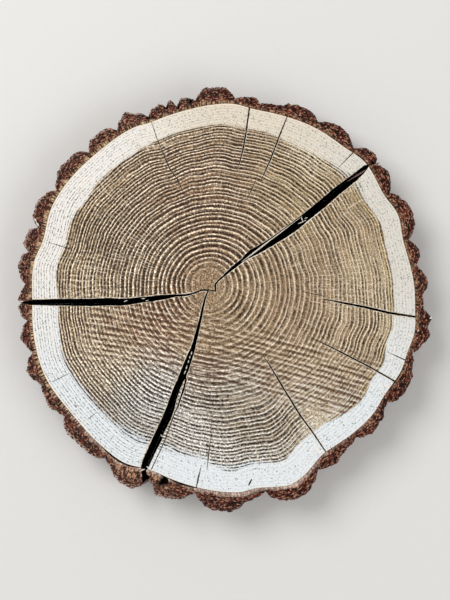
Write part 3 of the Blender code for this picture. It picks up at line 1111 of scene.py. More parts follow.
    def dark_bands(self, face: SawnFace, growth: Growth, near_pith: bpy.types.NodeSocket,
                   saw: SawLines, soft: bpy.types.NodeSocket) -> bpy.types.NodeSocket:
        """Draw the dark band of each ring, broken into beads.

        Args:
            face: The sawn face.
            growth: The growth at each place.
            near_pith: How much of the rings is left.
            saw: The saw's marks.
            soft: Where the heartwood's edge is soft.

        Returns:
            How dark each place is.
        """
        rates, flat = self.rates, face.flat
        dark = face.band(growth.share, 0.28, 0.40, 0.68, 0.94)
        sector_places = face.fanned(face.around, rates.sector_fan,
                                    face.sum("MULTIPLY", face.rings, 0.20))
        strength = face.rise(face.cloud(sector_places, 1.0, 2.0, 0.6), 0.36, 0.60, 0.55, 1.35)
        for spot in self.ring_spots:
            strength = face.sum("ADD", strength, face.near(flat, spot))
        drawn = face.sum("MULTIPLY_ADD", growth.lot[0], 0.55, 0.75)
        fading = face.rise(self.faded(face, growth, 0.0), 0.38, 0.56, 0.36, 1.60)
        drawn = face.sum("MULTIPLY", drawn, fading)
        strength = face.sum("MULTIPLY", strength, drawn, clamp=True)
        kept = face.sum("MULTIPLY_ADD", saw.dark, 0.6, 0.50)
        strength = face.sum("MULTIPLY", strength, face.mix_number(saw.zone, 1.0, kept))
        strength = face.sum("MULTIPLY", strength, near_pith)
        lengthwise = face.rise(face.cloud(flat, rates.run, 2.0, 0.6), 0.38, 0.58, 0.62, 1.0)
        beads = face.cloud(flat, rates.bead, 1.0)
        beaded = face.mix_number(face.low, face.rise(beads, 0.38, 0.56, 0.60, 1.15),
                                 face.rise(beads, 0.40, 0.54, 0.28, 1.25))
        lengthwise = face.sum("MULTIPLY", lengthwise, beaded)
        band = face.sum("MULTIPLY", dark, face.sum("MULTIPLY", strength, lengthwise))
        band = face.sum("MULTIPLY", band, face.mix_number(face.lively, 1.0, 1.35), clamp=True)
        kept_until = face.sum("MULTIPLY_ADD", soft, -5.0, face.beyond_heart)
        return face.sum("MULTIPLY", band, face.rise(kept_until, -0.6, 1.2, 1.0, 0.0))

    def pale_lines(self, face: SawnFace, growth: Growth, near_pith: bpy.types.NodeSocket,
                   saw: SawLines) -> bpy.types.NodeSocket:
        """Draw the pale line that starts each ring, and in some years a second one.

        Args:
            face: The sawn face.
            growth: The growth at each place.
            near_pith: How much of the rings is left.
            saw: The saw's marks.

        Returns:
            How pale each place is.
        """
        cream = face.band(growth.share, 0.0, 0.06, 0.17, 0.29)
        second = face.sum("MULTIPLY", face.band(growth.share, 0.60, 0.66, 0.72, 0.82),
                          face.rise(growth.lot[2], 0.70, 0.75))
        light = face.sum("MULTIPLY", face.sum("MAXIMUM", cream, second),
                         face.sum("MULTIPLY_ADD", growth.lot[1], 0.30, 0.72))
        fading = face.rise(self.faded(face, growth, 40.3), 0.36, 0.56, 0.42, 1.20)
        light = face.sum("MULTIPLY", light, fading)
        crisp = face.rise(face.cells(face.flat, self.rates.crisp), 0.25, 0.62, 1.16, 0.72)
        light = face.sum("MULTIPLY", light, crisp)
        light = face.sum("MULTIPLY", light, face.mix_number(face.lively, 1.0, 1.16))
        # Painted highlight: the pale lines are brightened inside the lit spot.
        lit = face.sum("MULTIPLY", cream, face.near(face.flat, self.lit))
        light = face.sum("ADD", light, lit, clamp=True)
        light = face.sum("MULTIPLY", light, near_pith)
        return face.sum("MULTIPLY_ADD", face.sum("MULTIPLY", light, saw.zone), -0.15, light)

    def heartwood(self, face: SawnFace, light: bpy.types.NodeSocket, pale: bpy.types.NodeSocket,
                  speckle: bpy.types.NodeSocket) -> bpy.types.NodeSocket:
        """Colour the heartwood between its dark bands.

        Args:
            face: The sawn face.
            light: How pale each place is.
            pale: The pale lines' colour.
            speckle: Fine noise.

        Returns:
            The colour's socket.
        """
        heart = self.wood
        for spot in self.tints:
            heart = face.mix(face.near(face.flat, spot), heart, spot.colour)
        olive_edge = face.sum("MULTIPLY", face.band(face.beyond_heart, -6.0, -2.5, -0.5, 0.5),
                              face.rise(face.x, 0.05, 0.10, 0.0, 0.5))
        heart = face.mix(olive_edge, heart, self.heart_rim)
        heart = face.shade(heart, face.rise(speckle, 0.34, 0.66, 0.50, 1.54))
        heart = face.mix(light, heart, pale)
        grit = face.cloud(face.flat, self.rates.grit, 1.0)
        grit = face.mix_number(face.low, face.rise(grit, 0.38, 0.60, 0.58, 1.36),
                               face.rise(grit, 0.38, 0.60, 0.70, 1.20))
        return face.shade(heart, face.mix_number(face.lively, 1.0, grit))

    def pale_rays(self, face: SawnFace) -> bpy.types.NodeSocket:
        """Draw the pale rays that cross the rings.

        Args:
            face: The sawn face.

        Returns:
            How pale each place is.
        """
        ray_places = face.fanned(face.around, self.rates.ray_fan,
                                 face.sum("MULTIPLY", face.rings, 0.22))
        rays = face.rise(face.cloud(ray_places, 1.0, 2.0, 0.65), 0.57, 0.68)
        rays = face.sum("MULTIPLY", rays, face.rise(face.rings, 4.0, 14.0))
        where = face.cloud(face.flat, self.rates.ray_patch, 1.0)
        rays = face.sum("MULTIPLY", rays, face.rise(where, 0.46, 0.64, 0.08, 0.36))
        woven = face.strongest(face.flat, self.woven)
        return face.sum("MAXIMUM", rays, face.sum("MULTIPLY", self.lattice(face), woven))

    def lattice(self, face: SawnFace) -> bpy.types.NodeSocket:
        """Draw evenly spaced pale rays, as the broad rays of oak cross its rings.

        Args:
            face: The sawn face.

        Returns:
            How pale each place is.
        """
        angle = face.sum("ARCTAN2", face.around[0], face.around[1])
        waver = face.cloud(face.flat, self.rates.ray_waver, 2.0)
        count = face.sum("MULTIPLY_ADD", angle, self.rates.lattice_fan,
                         face.sum("MULTIPLY", waver, 1.6))
        number = face.sum("FLOOR", count)
        line = face.band(face.sum("FRACT", count), 0.0, 0.14, 0.22, 0.38)
        run = face.joined(face.sum("MULTIPLY", number, 3.7), face.sum("MULTIPLY", face.rings, 0.62))
        return face.sum("MULTIPLY", line, face.rise(face.cloud(run, 1.0, 1.0), 0.40, 0.60,
                                                    0.06, 0.62))

    def saw_lines(self, face: SawnFace) -> SawLines:
        """Draw the saw's faint arcs.

        Args:
            face: The sawn face.

        Returns:
            The marks.
        """
        saw, flat = self.saw, face.flat
        bowed = face.sum("MULTIPLY", face.sum("MULTIPLY_ADD", face.x, saw.bow, saw.slope), face.x)
        line = face.sum("ADD", face.y, bowed)
        zone = face.band(line, *saw.zone)
        away = face.sum("MAXIMUM", zone, saw.elsewhere)
        waver = face.cloud(face.lined(flat, *saw.waver_size, saw.lean), 1.0, 1.0)
        count = face.sum("MULTIPLY_ADD", waver, 0.9, face.sum("DIVIDE", line, saw.spacing))
        share = face.sum("FRACT", count)
        marks = face.band(share, 0.0, 0.26, 0.42, 0.70)
        broken = face.cloud(face.lined(flat, *saw.break_size, saw.lean), 1.0, 2.0)
        marks = face.sum("MULTIPLY", marks, face.rise(broken, 0.38, 0.58, 0.20, 1.0))
        right_of_edge = face.rise(face.x, -0.112, -0.092)
        zone = face.sum("MULTIPLY", zone, right_of_edge)
        marks = face.sum("MULTIPLY", marks, right_of_edge)
        pale = face.sum("MULTIPLY", face.band(share, 0.58, 0.72, 0.86, 1.0), zone)
        patchy = face.rise(face.cloud(flat, self.rates.saw_patch, 2.0, 0.6), 0.42, 0.58)
        return SawLines(zone, face.sum("MULTIPLY", marks, away), face.sum("MULTIPLY", pale, patchy))

    def sapwood(self, face: SawnFace, growth: Growth) -> bpy.types.NodeSocket:
        """Colour the sapwood, with its rows of pores, its pits and its warm rim.

        Args:
            face: The sawn face.
            growth: The growth at each place.

        Returns:
            The colour's socket.
        """
        x, y, flat = face.x, face.y, face.flat
        sap = face.mix(face.rise(x, 0.03, 0.11), self.sap_top, self.sap_right)
        sap = face.mix(face.rise(x, 0.00, -0.09), sap, self.sap_left)
        low = face.rise(y, 0.03, -0.09)
        sap = face.mix(low, sap, self.sap_low)
        rows = face.band(growth.share, 0.10, 0.20, 0.36, 0.50)
        clear = face.strongest(flat, self.clear_rows)
        clear = face.sum("ADD", clear, face.rise(y, -0.10, -0.13, 0.34, 0.16))
        shown = face.sum("MULTIPLY", rows, clear)
        sap = face.shade(sap, face.sum("MULTIPLY_ADD", shown, -0.26, 1.0))
        dots = face.rise(face.cells(flat, self.rates.sap_dot), 0.30, 0.52, 1.0, 0.0)
        pores = face.mix(low, self.sap_pore, self.low_pore)
        stray = face.rise(face.cells(flat, self.rates.sap_stray), 0.10, 0.22, 0.8, 0.0)
        stray = face.sum("MULTIPLY", stray, face.rise(y, -0.02, -0.08))
        sap = face.mix(face.sum("MAXIMUM", face.sum("MULTIPLY", dots, shown), stray), sap, pores)

        pitted = face.rise(y, -0.05, -0.09, 0.50, 0.72)
        sap = face.shade(sap, face.rise(face.cells(flat, self.rates.sap_pit), 0.12, 0.36,
                                        pitted, 1.02))
        warm_rim = face.rise(face.sum("SUBTRACT", y, x), -0.06, 0.06, 0.30, 0.80)
        at_rim = face.sum("MULTIPLY", face.rise(face.within_bark, 1.4, 0.3), warm_rim)
        return face.mix(at_rim, sap, self.sap_rim)


@dataclass(frozen=True)
class LipFinish:
    """The pale torn edge of a crack, where the sawn face has broken away."""

    base: Colour = srgb(240, 231, 214)
    shaded: Colour = srgb(176, 156, 128)

    def make(self) -> bpy.types.Material:
        """Build the material.

        Returns:
            The material.
        """
        board = Board("torn_crack_lip")
        fibres = board.cloud(board.places, 620.0, 2.0, 0.6)
        colour = board.mix(board.rise(fibres, 0.36, 0.60), self.shaded, self.base)
        return board.finish(colour, 0.85, fibres, 0.2 * MM, 0.5)


@dataclass(frozen=True)
class CrackShadeFinish:
    """The torn wood inside a crack, painted near-black as the shade deep in the crack, fibrous along
    the grain.
    """

    # Both colours are painted shade: the torn wood is coloured near-black to stand for the shade
    # deep inside the crack.
    deep: Colour = srgb(5, 3, 2)
    torn: Colour = srgb(11, 8, 6)

    def make(self) -> bpy.types.Material:
        """Build the material.

        Returns:
            The material.
        """
        board = Board("crack_inside_painted_shade")
        fibres = board.cloud(board.stretched(board.places, (900.0, 900.0, 60.0)), 1.0, 3.0, 0.6)
        colour = board.mix(board.rise(fibres, 0.45, 0.8), self.deep, self.torn)
        return board.finish(colour, 0.95, fibres, 0.6 * MM, 0.8, 0.0)


@dataclass(frozen=True)
class SplinterFinish:
    """Freshly broken wood fibres, pale or browned."""

    name: str
    base: Colour
    shaded: Colour

    def make(self) -> bpy.types.Material:
        """Build the material.

        Returns:
            The material.
        """
        board = Board(self.name)
        fibres = board.cloud(board.stretched(board.places, (1300.0, 1300.0, 90.0)), 1.0, 2.0)
        colour = board.mix(board.rise(fibres, 0.35, 0.65), self.shaded, self.base)
        return board.finish(colour, 0.8, fibres, 0.3 * MM, 0.6)


@dataclass(frozen=True)
class BarkFinish:
    """Oak bark: tan rayed inner bark, red-brown crumbly outer bark with pale crumbs at its rim, with
    painted shade in the pits of its sawn faces and a painted highlight on the rim's left side.
    """

    pith: Vector
    thickness: float
    inner: Colour = srgb(206, 174, 136)
    inner_low: Colour = srgb(232, 204, 186)
    inner_dark: Colour = srgb(58, 36, 23)
    body: Colour = srgb(100, 46, 30)
    rust: Colour = srgb(92, 32, 20)
    dark: Colour = srgb(30, 9, 5)
    light: Colour = srgb(208, 150, 120)
    pale: Colour = srgb(218, 194, 182)
    streak: Colour = srgb(232, 180, 142)
    streak_dark: Colour = srgb(34, 17, 13)
    streaked: Spot = Spot(-0.066, -0.130, 0.034, 0.70)
    grain_rate: float = 640.0
    patch_rate: float = 110.0
    gap_rate: float = 380.0
    speck_rate: float = 820.0
    flake_fan: float = 70.0
    torn_fan: float = 95.0
    ray_fan: float = 130.0
    # Depths over which the painted shade in the sawn faces' pits deepens.
    shade_start_depth: float = 1.4 * MM
    shade_full_depth: float = 5.0 * MM
    relief: float = 0.8 * MM

    def make(self) -> bpy.types.Material:
        """Build the material.

        Returns:
            The material.
        """
        board = Board("oak_bark")
        depth, across = board.map_numbers(Maps.BARK.value)
        places = board.places
        around = board.split(board.direction(places, self.pith))
        height_here = board.split(places)[2]
        grain = board.cloud(places, self.grain_rate, 2.0, 0.7)
        patches = board.cloud(places, self.patch_rate, 2.0)
        colour = board.mix(board.rise(patches, 0.42, 0.58), self.body, self.rust)
        colour = board.shade(colour, board.rise(grain, 0.36, 0.64, 0.30, 1.90))
        flakes = board.fanned(around, self.flake_fan, board.sum("MULTIPLY", depth, 1.05))
        gaps = board.rise(board.cells(places, self.gap_rate), 0.38, 0.57)
        colour = board.mix(board.sum("MULTIPLY", gaps, 0.94), colour, self.dark)
        crumbs = board.rise(board.cloud(flakes, 1.0, 2.0, 0.6), 0.54, 0.61, 0.0, 0.92)
        colour = board.mix(crumbs, colour, self.light)
        layers = board.sum("MULTIPLY_ADD", patches, 7.0, board.sum("MULTIPLY", depth, 0.60))
        fold = board.band(board.sum("FRACT", layers), 0.0, 0.12, 0.20, 0.36)
        colour = board.mix(board.sum("MULTIPLY", fold, 0.85), colour, self.dark)
        deeper = board.rise(across, 0.25, 0.60, 1.0, 0.76)
        colour = board.shade(colour, deeper)
        torn = board.fanned(around, self.torn_fan, board.sum("MULTIPLY", depth, 0.32))
        torn = board.rise(board.cloud(torn, 1.0, 2.0, 0.6), 0.46, 0.57)
        torn = board.mix(torn, self.streak_dark, self.streak)
        flat = board.joined(*board.split(places)[:2])
        torn_here = board.sum("MULTIPLY", board.near(flat, self.streaked),
                              board.rise(across, 0.80, 0.35))
        colour = board.mix(torn_here, colour, torn)
        specks = board.rise(board.cloud(places, self.speck_rate, 1.0), 0.46, 0.58)
        # Painted highlight: the pale crumbs at the rim are real, but they are made stronger on the
        # left, the side the key light falls on.
        lit_side = board.rise(around[0], 0.30, -0.40, 0.12, 0.80)
        at_rim = board.sum("MULTIPLY", board.rise(across, 0.80, 0.98, 0.06, 1.0), lit_side)
        side = board.rise(across, 0.985, 0.995)
        at_rim = board.sum("MULTIPLY", at_rim, board.sum("MULTIPLY_ADD", side, -0.5, 1.0))
        colour = board.mix(board.sum("MULTIPLY", specks, at_rim), colour, self.pale)

        ray_places = board.fanned(around, self.ray_fan, board.sum("MULTIPLY", depth, 0.14))
        rays = board.rise(board.cloud(ray_places, 1.0, 1.0), 0.43, 0.57)
        rays = board.sum("MAXIMUM", rays, board.rise(around[1], -0.70, -0.90, 0.0, 0.50))
        tan = board.mix(board.rise(around[1], -0.5, -0.9), self.inner, self.inner_low)
        inner = board.mix(rays, self.inner_dark, tan)
        inner = board.shade(inner, board.rise(grain, 0.36, 0.62, 0.55, 1.15))
        band = board.sum("MULTIPLY_ADD", board.sum("SUBTRACT", patches, 0.5), 7.0, depth)
        is_inner = board.rise(band, 1.2, 3.6, 1.0, 0.0)
        amount = board.rise(around[0], 0.45, -0.35, 0.32, 0.90)
        amount = board.sum("MAXIMUM", amount, board.rise(around[1], -0.70, -0.90, 0.0, 0.85))
        colour = board.mix(board.sum("MULTIPLY", is_inner, amount), colour, inner)

        # Painted shade: pits and hollows in the sawn faces are darkened the further they sink from
        # the top or the underside, down to 0.22 at full depth; the outer side keeps its colour.
        half = 0.5 * self.thickness
        off_middle = board.sum("ABSOLUTE", board.sum("SUBTRACT", height_here, half))
        pit_painted_shade = board.rise(off_middle, half - self.shade_full_depth, half - self.shade_start_depth, 0.22, 1.0)
        colour = board.shade(colour, board.mix_number(side, pit_painted_shade, 1.0))
        height = board.sum("MULTIPLY_ADD", gaps, -0.6, grain)
        return board.finish(colour, 0.94, height, self.relief, 0.8)


@dataclass(frozen=True)
class FloorFinish:
    """A plain pale studio floor."""

    colour: Colour = (0.74, 0.73, 0.71)
    paler: Colour = (0.76, 0.75, 0.73)

    def make(self) -> bpy.types.Material:
        """Build the material.

        Returns:
            The material.
        """
        board = Board("pale_floor")
        mottle = board.cloud(board.places, 260.0)
        return board.finish(board.mix(mottle, self.colour, self.paler), 0.8, mottle,
                            0.05 * MM, 0.2)


def add_piece(name: str, bm: bmesh.types.BMesh,
              finishes: Sequence[bpy.types.Material]) -> bpy.types.Object:
    """Turn a bmesh into a piece at the origin, its faces pointing out.

    Args:
        name: The piece's name.
        bm: The mesh, which is freed.
        finishes: Its materials.

    Returns:
        The new object.
    """
    bmesh.ops.recalc_face_normals(bm, faces=bm.faces)
    mesh = bpy.data.meshes.new(name)
    bm.to_mesh(mesh)
    bm.free()
    for finish in finishes:
        mesh.materials.append(finish)
    piece = bpy.data.objects.new(name, mesh)
    bpy.context.scene.collection.objects.link(piece)
    return piece


def loft(bm: bmesh.types.BMesh, rings: Sequence[Sequence[Vector]]) -> None:
    """Extrude a ring of points on through each later ring, and close both ends.

    Args:
        bm: The mesh to add to.
        rings: Rings of the same number of points.
    """
    order = bm.verts.layers.int.get("order") or bm.verts.layers.int.new("order")
    verts = [bm.verts.new(point) for point in rings[0]]
    for index, vert in enumerate(verts):
        vert[order] = index
    first = [bm.edges.new((verts[index - 1], verts[index])) for index in range(len(verts))]
    last = first
    for ring in rings[1:]:
        grown = bmesh.ops.extrude_edge_only(bm, edges=last)["geom"]
        for vert in grown:
            if isinstance(vert, bmesh.types.BMVert):
                vert.co = ring[vert[order]]
        last = [edge for edge in grown if isinstance(edge, bmesh.types.BMEdge)]
    for end in (first, last):
        bmesh.ops.contextual_create(bm, geom=end)


def carve(piece: bpy.types.Object, cutters: Sequence[bpy.types.Object]) -> None:
    """Cut shapes out of a piece and keep the result as its mesh.

    Args:
        piece: The piece to cut.
        cutters: The shapes, which stay in the scene.
    """
    for cutter in cutters:
        modifier = piece.modifiers.new(cutter.name, "BOOLEAN")
        modifier.operation = "DIFFERENCE"
        modifier.solver = "MANIFOLD"
        modifier.object = cutter
    bpy.context.view_layer.update()
    seen = piece.evaluated_get(bpy.context.evaluated_depsgraph_get())
    carved = bpy.data.meshes.new_from_object(seen)
    worn = piece.data
    piece.modifiers.clear()
    piece.data = carved
    carved.name = piece.name
    bpy.data.meshes.remove(worn)


class Cut(Enum):
    """Which of a piece's materials each kind of surface has."""

    SAWN = 0
    WALL = 1
    LIP = 2


@dataclass
class CrackCutters:
    """The ragged shapes that are cut out of the wood and the bark."""

    shape: LogShape
    finishes: Sequence[bpy.types.Material]
    taper: float = 0.35
    shallow_floor: float = 19.0 * MM
    shallow_radius: float = 28.0 * MM
    through_radius: float = 50.0 * MM
    margin: float = 1.0 * MM
    step: float = 1.1 * MM
    levels: int = 8
    wall_waves: float = 0.5 * MM
    bend: float = 0.8
    lip: float = 0.42 * MM
    lip_depth: float = 0.35 * MM
    lip_size: float = 2.6 * MM
    rag_size: float = 1.6 * MM
    wave_size: float = 7.0 * MM
    closed: float = 0.04

    def floor(self, radius: float) -> float:
        """Find how deep a through crack goes.

        Args:
            radius: Distance from the pith.

        Returns:
            The height of its floor, below the underside where it runs through.
        """
        share = (radius - self.shallow_radius) / (self.through_radius - self.shallow_radius)
        share = min(max(share, 0.0), 1.0)
        return self.shallow_floor - (self.shallow_floor + self.margin) * share

    def course(self, crack: Crack) -> list[tuple[Vector, Vector, float]]:
        """Walk along a crack in short steps.

        Args:
            crack: The crack.

        Returns:
            For each step its middle, its sideways direction and its half width.
        """
        marks = [(Vector((x, y, 0.0)), 0.5 * width) for x, y, width in crack.points]
        walk = [marks[0]]
        for (start, half_a), (end, half_b) in zip(marks, marks[1:]):
            steps = max(int((end - start).length / self.step), 1)
            for step in range(1, steps + 1):
                share = step / steps
                walk.append((start.lerp(end, share), half_a + (half_b - half_a) * share))
        course = []
        for index, (middle, half) in enumerate(walk):
            before = walk[max(index - 2, 0)][0]
            after = walk[min(index + 2, len(walk) - 1)][0]
            side = (after - before).normalized().cross(Vector((0.0, 0.0, 1.0)))
            course.append((self.shape.pith + middle, side, half))
        return course

    def waver(self, spot: Vector, seed: float, size: float, amount: float) -> float:
        """Read a small smooth irregularity.

        Args:
            spot: Where.
            seed: Which of many patterns.
            size: The length of its waves.
            amount: Its height.

        Returns:
            A length either side of zero.
        """
        return amount * noise.noise(spot / size + Vector((seed, 2.0 * seed, 0.0)))

    def torn_lip(self, spot: Vector, seed: float, half: float) -> float:
        """Find how wide the broken lip beside a crack is.

        Args:
            spot: Where.
            seed: Which of many patterns.
            half: Half the crack's width there.

        Returns:
            The width.
        """
        ragged = max(1.05 + self.waver(spot, seed, self.lip_size, 1.3), 0.45)
        return self.lip * ragged * smooth_step(0.1 * MM, 0.9 * MM, half)

    def build(self, crack: Crack, seed: float) -> bpy.types.Object:
        """Make one crack's cutter.

        Args:
            crack: The crack.
            seed: Which irregularities it gets.

        Returns:
            The cutter, not yet hidden.
        """
        thickness = self.shape.thickness
        top = thickness + self.margin
        rings = []
        for middle, side, half in self.course(crack):
            rag = min(crack.raggedness, 0.45 * half)
            rags = [self.waver(middle, seed + 5.0 * way, self.rag_size, 2.0 * rag)
                    for way in (0, 1)]
            lips = [self.torn_lip(middle, seed + 3.0 * way, half) for way in (1, 2)]
            if crack.kind is CrackKind.THROUGH:
                floor = self.floor((middle - self.shape.pith).length)
                count = self.levels
            else:
                floor = thickness - crack.depth
                count = 1
            start = thickness - self.lip_depth
            heights = [top, thickness]
            heights += [start + (floor - start) * step / count for step in range(count + 1)]
            walls = ([], [])
            for level, height in enumerate(heights):
                if crack.kind is CrackKind.THROUGH:
                    deep = (top - height) / top
                    narrow = 1.0 + (self.taper - 1.0) * deep
                    wave = self.waver(middle + Vector((0, 0, height)), seed + 9.0,
                                      self.wave_size, min(self.wall_waves, half) * deep)
                    wave -= self.bend * half * math.sin(1.5 * math.pi * deep)
                else:
                    narrow = max((height - floor) / (top - floor), self.closed)
                    wave = 0.0
                for wall, way, rag_here, lip in zip(walls, (1.0, -1.0), rags, lips):
                    reach = (half + rag_here) * narrow + (lip if level < 2 else 0.0)
                    wall.append(self.shape.turned(
                        middle + side * (way * reach + wave), height))
            rings.append(walls[0] + walls[1][::-1])
        bm = bmesh.new()
        loft(bm, rings)
        for face in bm.faces:
            high = face.calc_center_median().z > thickness - self.lip_depth
            face.material_index = Cut.LIP.value if high else Cut.WALL.value
        bmesh.ops.triangulate(bm, faces=bm.faces)
        return add_piece("cutter_" + crack.name, bm, self.finishes)


def roll(steps: int, section: Sequence[Mark]) -> bmesh.types.BMesh:
    """Sweep a section round a full turn, as a flat grid that is still to be bent.

    Args:
        steps: How many faces go round.
        section: The section's points, out and up.

    Returns:
        A grid whose vertices hold their bearing as X and their place in the section as Y.
    """
    bm = bmesh.new()
    bmesh.ops.create_grid(bm, x_segments=steps, y_segments=len(section) - 1, size=1.0)
    for vert in bm.verts:
        vert.co.x = FULL_TURN * 0.5 * (vert.co.x + 1.0)
        vert.co.y = round(0.5 * (vert.co.y + 1.0) * (len(section) - 1))
    return bm


@dataclass
class WoodDisc:
    """The disc of sawn wood, with its rings mapped over both faces and its cracks cut."""

    shape: LogShape
    bearings: int = 480
    face_steps: int = 44
    side_steps: int = 4
    crease: float = math.radians(35.0)

    def section(self) -> list[Mark]:
        """Draw half of the disc's section at unit size.

        Returns:
            Points from the top's middle, over the rim, to the underside's middle.
        """
        places = [(step / self.face_steps, 1.0) for step in range(self.face_steps + 1)]
        places += [(1.0, 1.0 - step / self.side_steps) for step in range(1, self.side_steps)]
        places += [(step / self.face_steps, 0.0) for step in range(self.face_steps, -1, -1)]
        return places

    def grow(self, bm: bmesh.types.BMesh, section: Sequence[Mark]) -> None:
        """Bend the grid to the log's outline and map the rings over it.

        Args:
            bm: The grid.
            section: The section's points.
        """
        shape = self.shape
        even_edge = shape.even_edges()
        rings = bm.loops.layers.uv.new(Maps.RINGS.value)
        rim = bm.loops.layers.uv.new(Maps.RIM.value)
        for vert in bm.verts:
            bearing = vert.co.x
            share, up = section[int(vert.co.y)]
            edge = shape.wood_edge(bearing)
            radius = share * edge
            count = shape.ring_number(bearing, radius, even_edge(bearing))
            beyond = (radius - shape.heart_edge(bearing)) / MM
            vert.co = shape.polar(bearing, radius, up * shape.thickness)
            for loop in vert.link_loops:
                loop[rings].uv = (count, beyond)
                loop[rim].uv = ((edge - radius) / MM, up)
        bmesh.ops.remove_doubles(bm, verts=bm.verts, dist=WELD)

    def build(self, finishes: Sequence[bpy.types.Material],
              cutters: Sequence[bpy.types.Object]) -> bpy.types.Object:
        """Make the disc.

        Args:
            finishes: End grain, crack wall (painted shade) and crack lip.
            cutters: The cracks' shapes.

        Returns:
            The finished piece.
        """
        section = self.section()
        bm = roll(self.bearings, section)
        self.grow(bm, section)
        piece = add_piece("wood_disc", bm, finishes)
        carve(piece, cutters)
        piece.data.shade_smooth()
        piece.data.set_sharp_from_angle(angle=self.crease)
        return piece


@dataclass(frozen=True)
class Pit:
    """A hole in the bark's sawn face: bearing, radius and size in pixels, depth in metres."""

    bearing: float
    radius: float
    size: float
    depth: float


@dataclass
class BarkRing:
    """The ring of bark: ragged lobes between furrows, cracked and pitted."""

    shape: LogShape
    bearings: int = 1440
    seat_steps: int = 4
    face_steps: int = 18
    side_steps: int = 26
    under_steps: int = 6
    relief_depth: float = 2.2 * MM
    relief_scale: float = 9.0
    relief_height: float = 0.12
    furrow_wander: float = 0.9
    least: float = 1.8 * MM
    crease: float = math.radians(50.0)
    plate_size: float = 8.0 * MM
    plate_gap: float = 0.6 * MM
    crumb_size: float = 3.0 * MM
    crumb_height: float = 0.75 * MM
    grit_size: float = 1.4 * MM
    grit_height: float = 0.55 * MM
    cross_run: float = 12.0 * MM
    cross_rise: float = 5.0 * MM
    cross_depth: float = 1.2 * MM
    rim_rounding: float = 0.3 * MM
    rim_reach: float = 2.0 * MM
    pock_size: float = 2.0 * MM
    pock_depth: float = 0.9 * MM
    fold_size: float = 5.0 * MM
    fold_depth: float = 0.8 * MM
    brink_depth: float = 0.6 * MM
    side_margin: float = 1.5 * MM
    pits: tuple[Pit, ...] = (
        Pit(257.6, 202.0, 4.6, 12.0 * MM), Pit(257.2, 196.6, 2.8, 9.0 * MM),
        Pit(256.6, 205.4, 2.2, 7.0 * MM), Pit(99.3, 180.0, 2.6, 5.0 * MM),
        Pit(102.8, 181.5, 2.4, 5.0 * MM), Pit(95.0, 184.0, 1.8, 4.0 * MM),
        Pit(109.5, 176.5, 2.2, 4.0 * MM), Pit(252.6, 203.0, 3.0, 6.0 * MM),
        Pit(262.5, 199.5, 1.6, 3.0 * MM), Pit(36.0, 205.0, 1.8, 4.0 * MM),
    )

    def section(self) -> list[Mark]:
        """Draw the ring's closed section at unit size: 0 to 1 outwards, 0 to 1 upwards.

        Returns:
            Its points, the first one again at the end.
        """
        places = [(0.0, step / self.seat_steps) for step in range(self.seat_steps)]
        places += [(step / self.face_steps, 1.0) for step in range(self.face_steps)]
        places += [(1.0, 1.0 - step / self.side_steps) for step in range(self.side_steps)]
        places += [(1.0 - step / self.under_steps, 0.0) for step in range(self.under_steps + 1)]
        return places

    def relief(self, bearing: float, height: float, seed: float) -> float:
        """Read the broad unevenness of the bark's side, as the solid has it.

        Args:
            bearing: Degrees on the upper face.
            height: Height above the underside.
            seed: Which pattern.

        Returns:
            A number between -1 and 1.
        """
        angle = math.radians(bearing)
        around = Vector((math.cos(angle), math.sin(angle), height / self.relief_height))
        return noise.noise(around * self.relief_scale + Vector((seed, seed, seed)))

    def outer_radius(self, bearing: float, up: float) -> float:
        """Find where the bark ends, with its furrows, plates and crumbs.

        Args:
            bearing: Degrees on the upper face.
            up: 0 at the underside to 1 at the top.

        Returns:
            The radius.
        """
        shape = self.shape
        height = up * shape.thickness
        lay = 1.0 - up
        wander = self.furrow_wander * math.sqrt(lay) * self.relief(bearing, height, 11.3)
        edge = shape.bark_edge(bearing + wander)
        back = self.relief_depth * math.sqrt(lay) * (0.6 + 0.8 * self.relief(bearing, height, 3.7))
        spot = shape.polar(bearing, edge, height)
        long_spot = Vector((spot.x, spot.y, 0.4 * spot.z))
        plates = noise.ridged_multi_fractal(long_spot / self.plate_size, 0.9, 2.1, 3, 0.9, 2.0)
        crumbs = noise.fractal(spot / self.crumb_size, 0.7, 2.1, 3)
        run, rise = self.cross_run, self.cross_rise
        cross = abs(noise.noise(Vector((spot.x / run, spot.y / run, spot.z / rise))))
        ragged = self.crumb_height * crumbs - self.plate_gap * smooth_step(1.3, 2.2, plates)
        ragged += self.grit_height * noise.noise(spot / self.grit_size)
        ragged -= self.cross_depth * smooth_step(0.10, 0.0, cross) * smooth_step(0.0, 0.25, lay)
        rim = min(up, 1.0 - up) * shape.thickness
        rounding = self.rim_rounding * (1.0 - smooth_step(0.0, self.rim_reach, rim))
        seat = shape.bark_seat(bearing)
        return max(edge - max(back, 0.0) + ragged - rounding, seat + self.least)

    def sink(self, here: Vector, across: float) -> float:
        """Find how far the sawn face has crumbled away.

        Args:
            here: The place on the sawn face.
            across: 0 at the wood to 1 at the outer edge.

        Returns:
            The depth.
        """
        pock = noise.fractal(here / self.pock_size, 0.6, 2.2, 3)
        fold = abs(noise.noise(here / self.fold_size))
        depth = self.pock_depth * max(pock, 0.0) + self.fold_depth * smooth_step(0.14, 0.0, fold)
        depth *= smooth_step(0.05, 0.40, across)
        depth += self.brink_depth * smooth_step(0.88, 1.0, across) * (0.8 + 0.7 * pock)
        reach = Vector((here.x, here.y, 0.0)) - self.shape.pith
        for hole in self.pits:
            angle = math.radians(hole.bearing)
            middle = PIXEL * hole.radius * Vector((math.cos(angle), math.sin(angle), 0.0))
            share = (reach - middle).length / (PIXEL * hole.size)
            if share < 1.3:
                depth += hole.depth * smooth_step(1.0, 0.6, share + 0.25 * pock)
        return max(depth, 0.0)

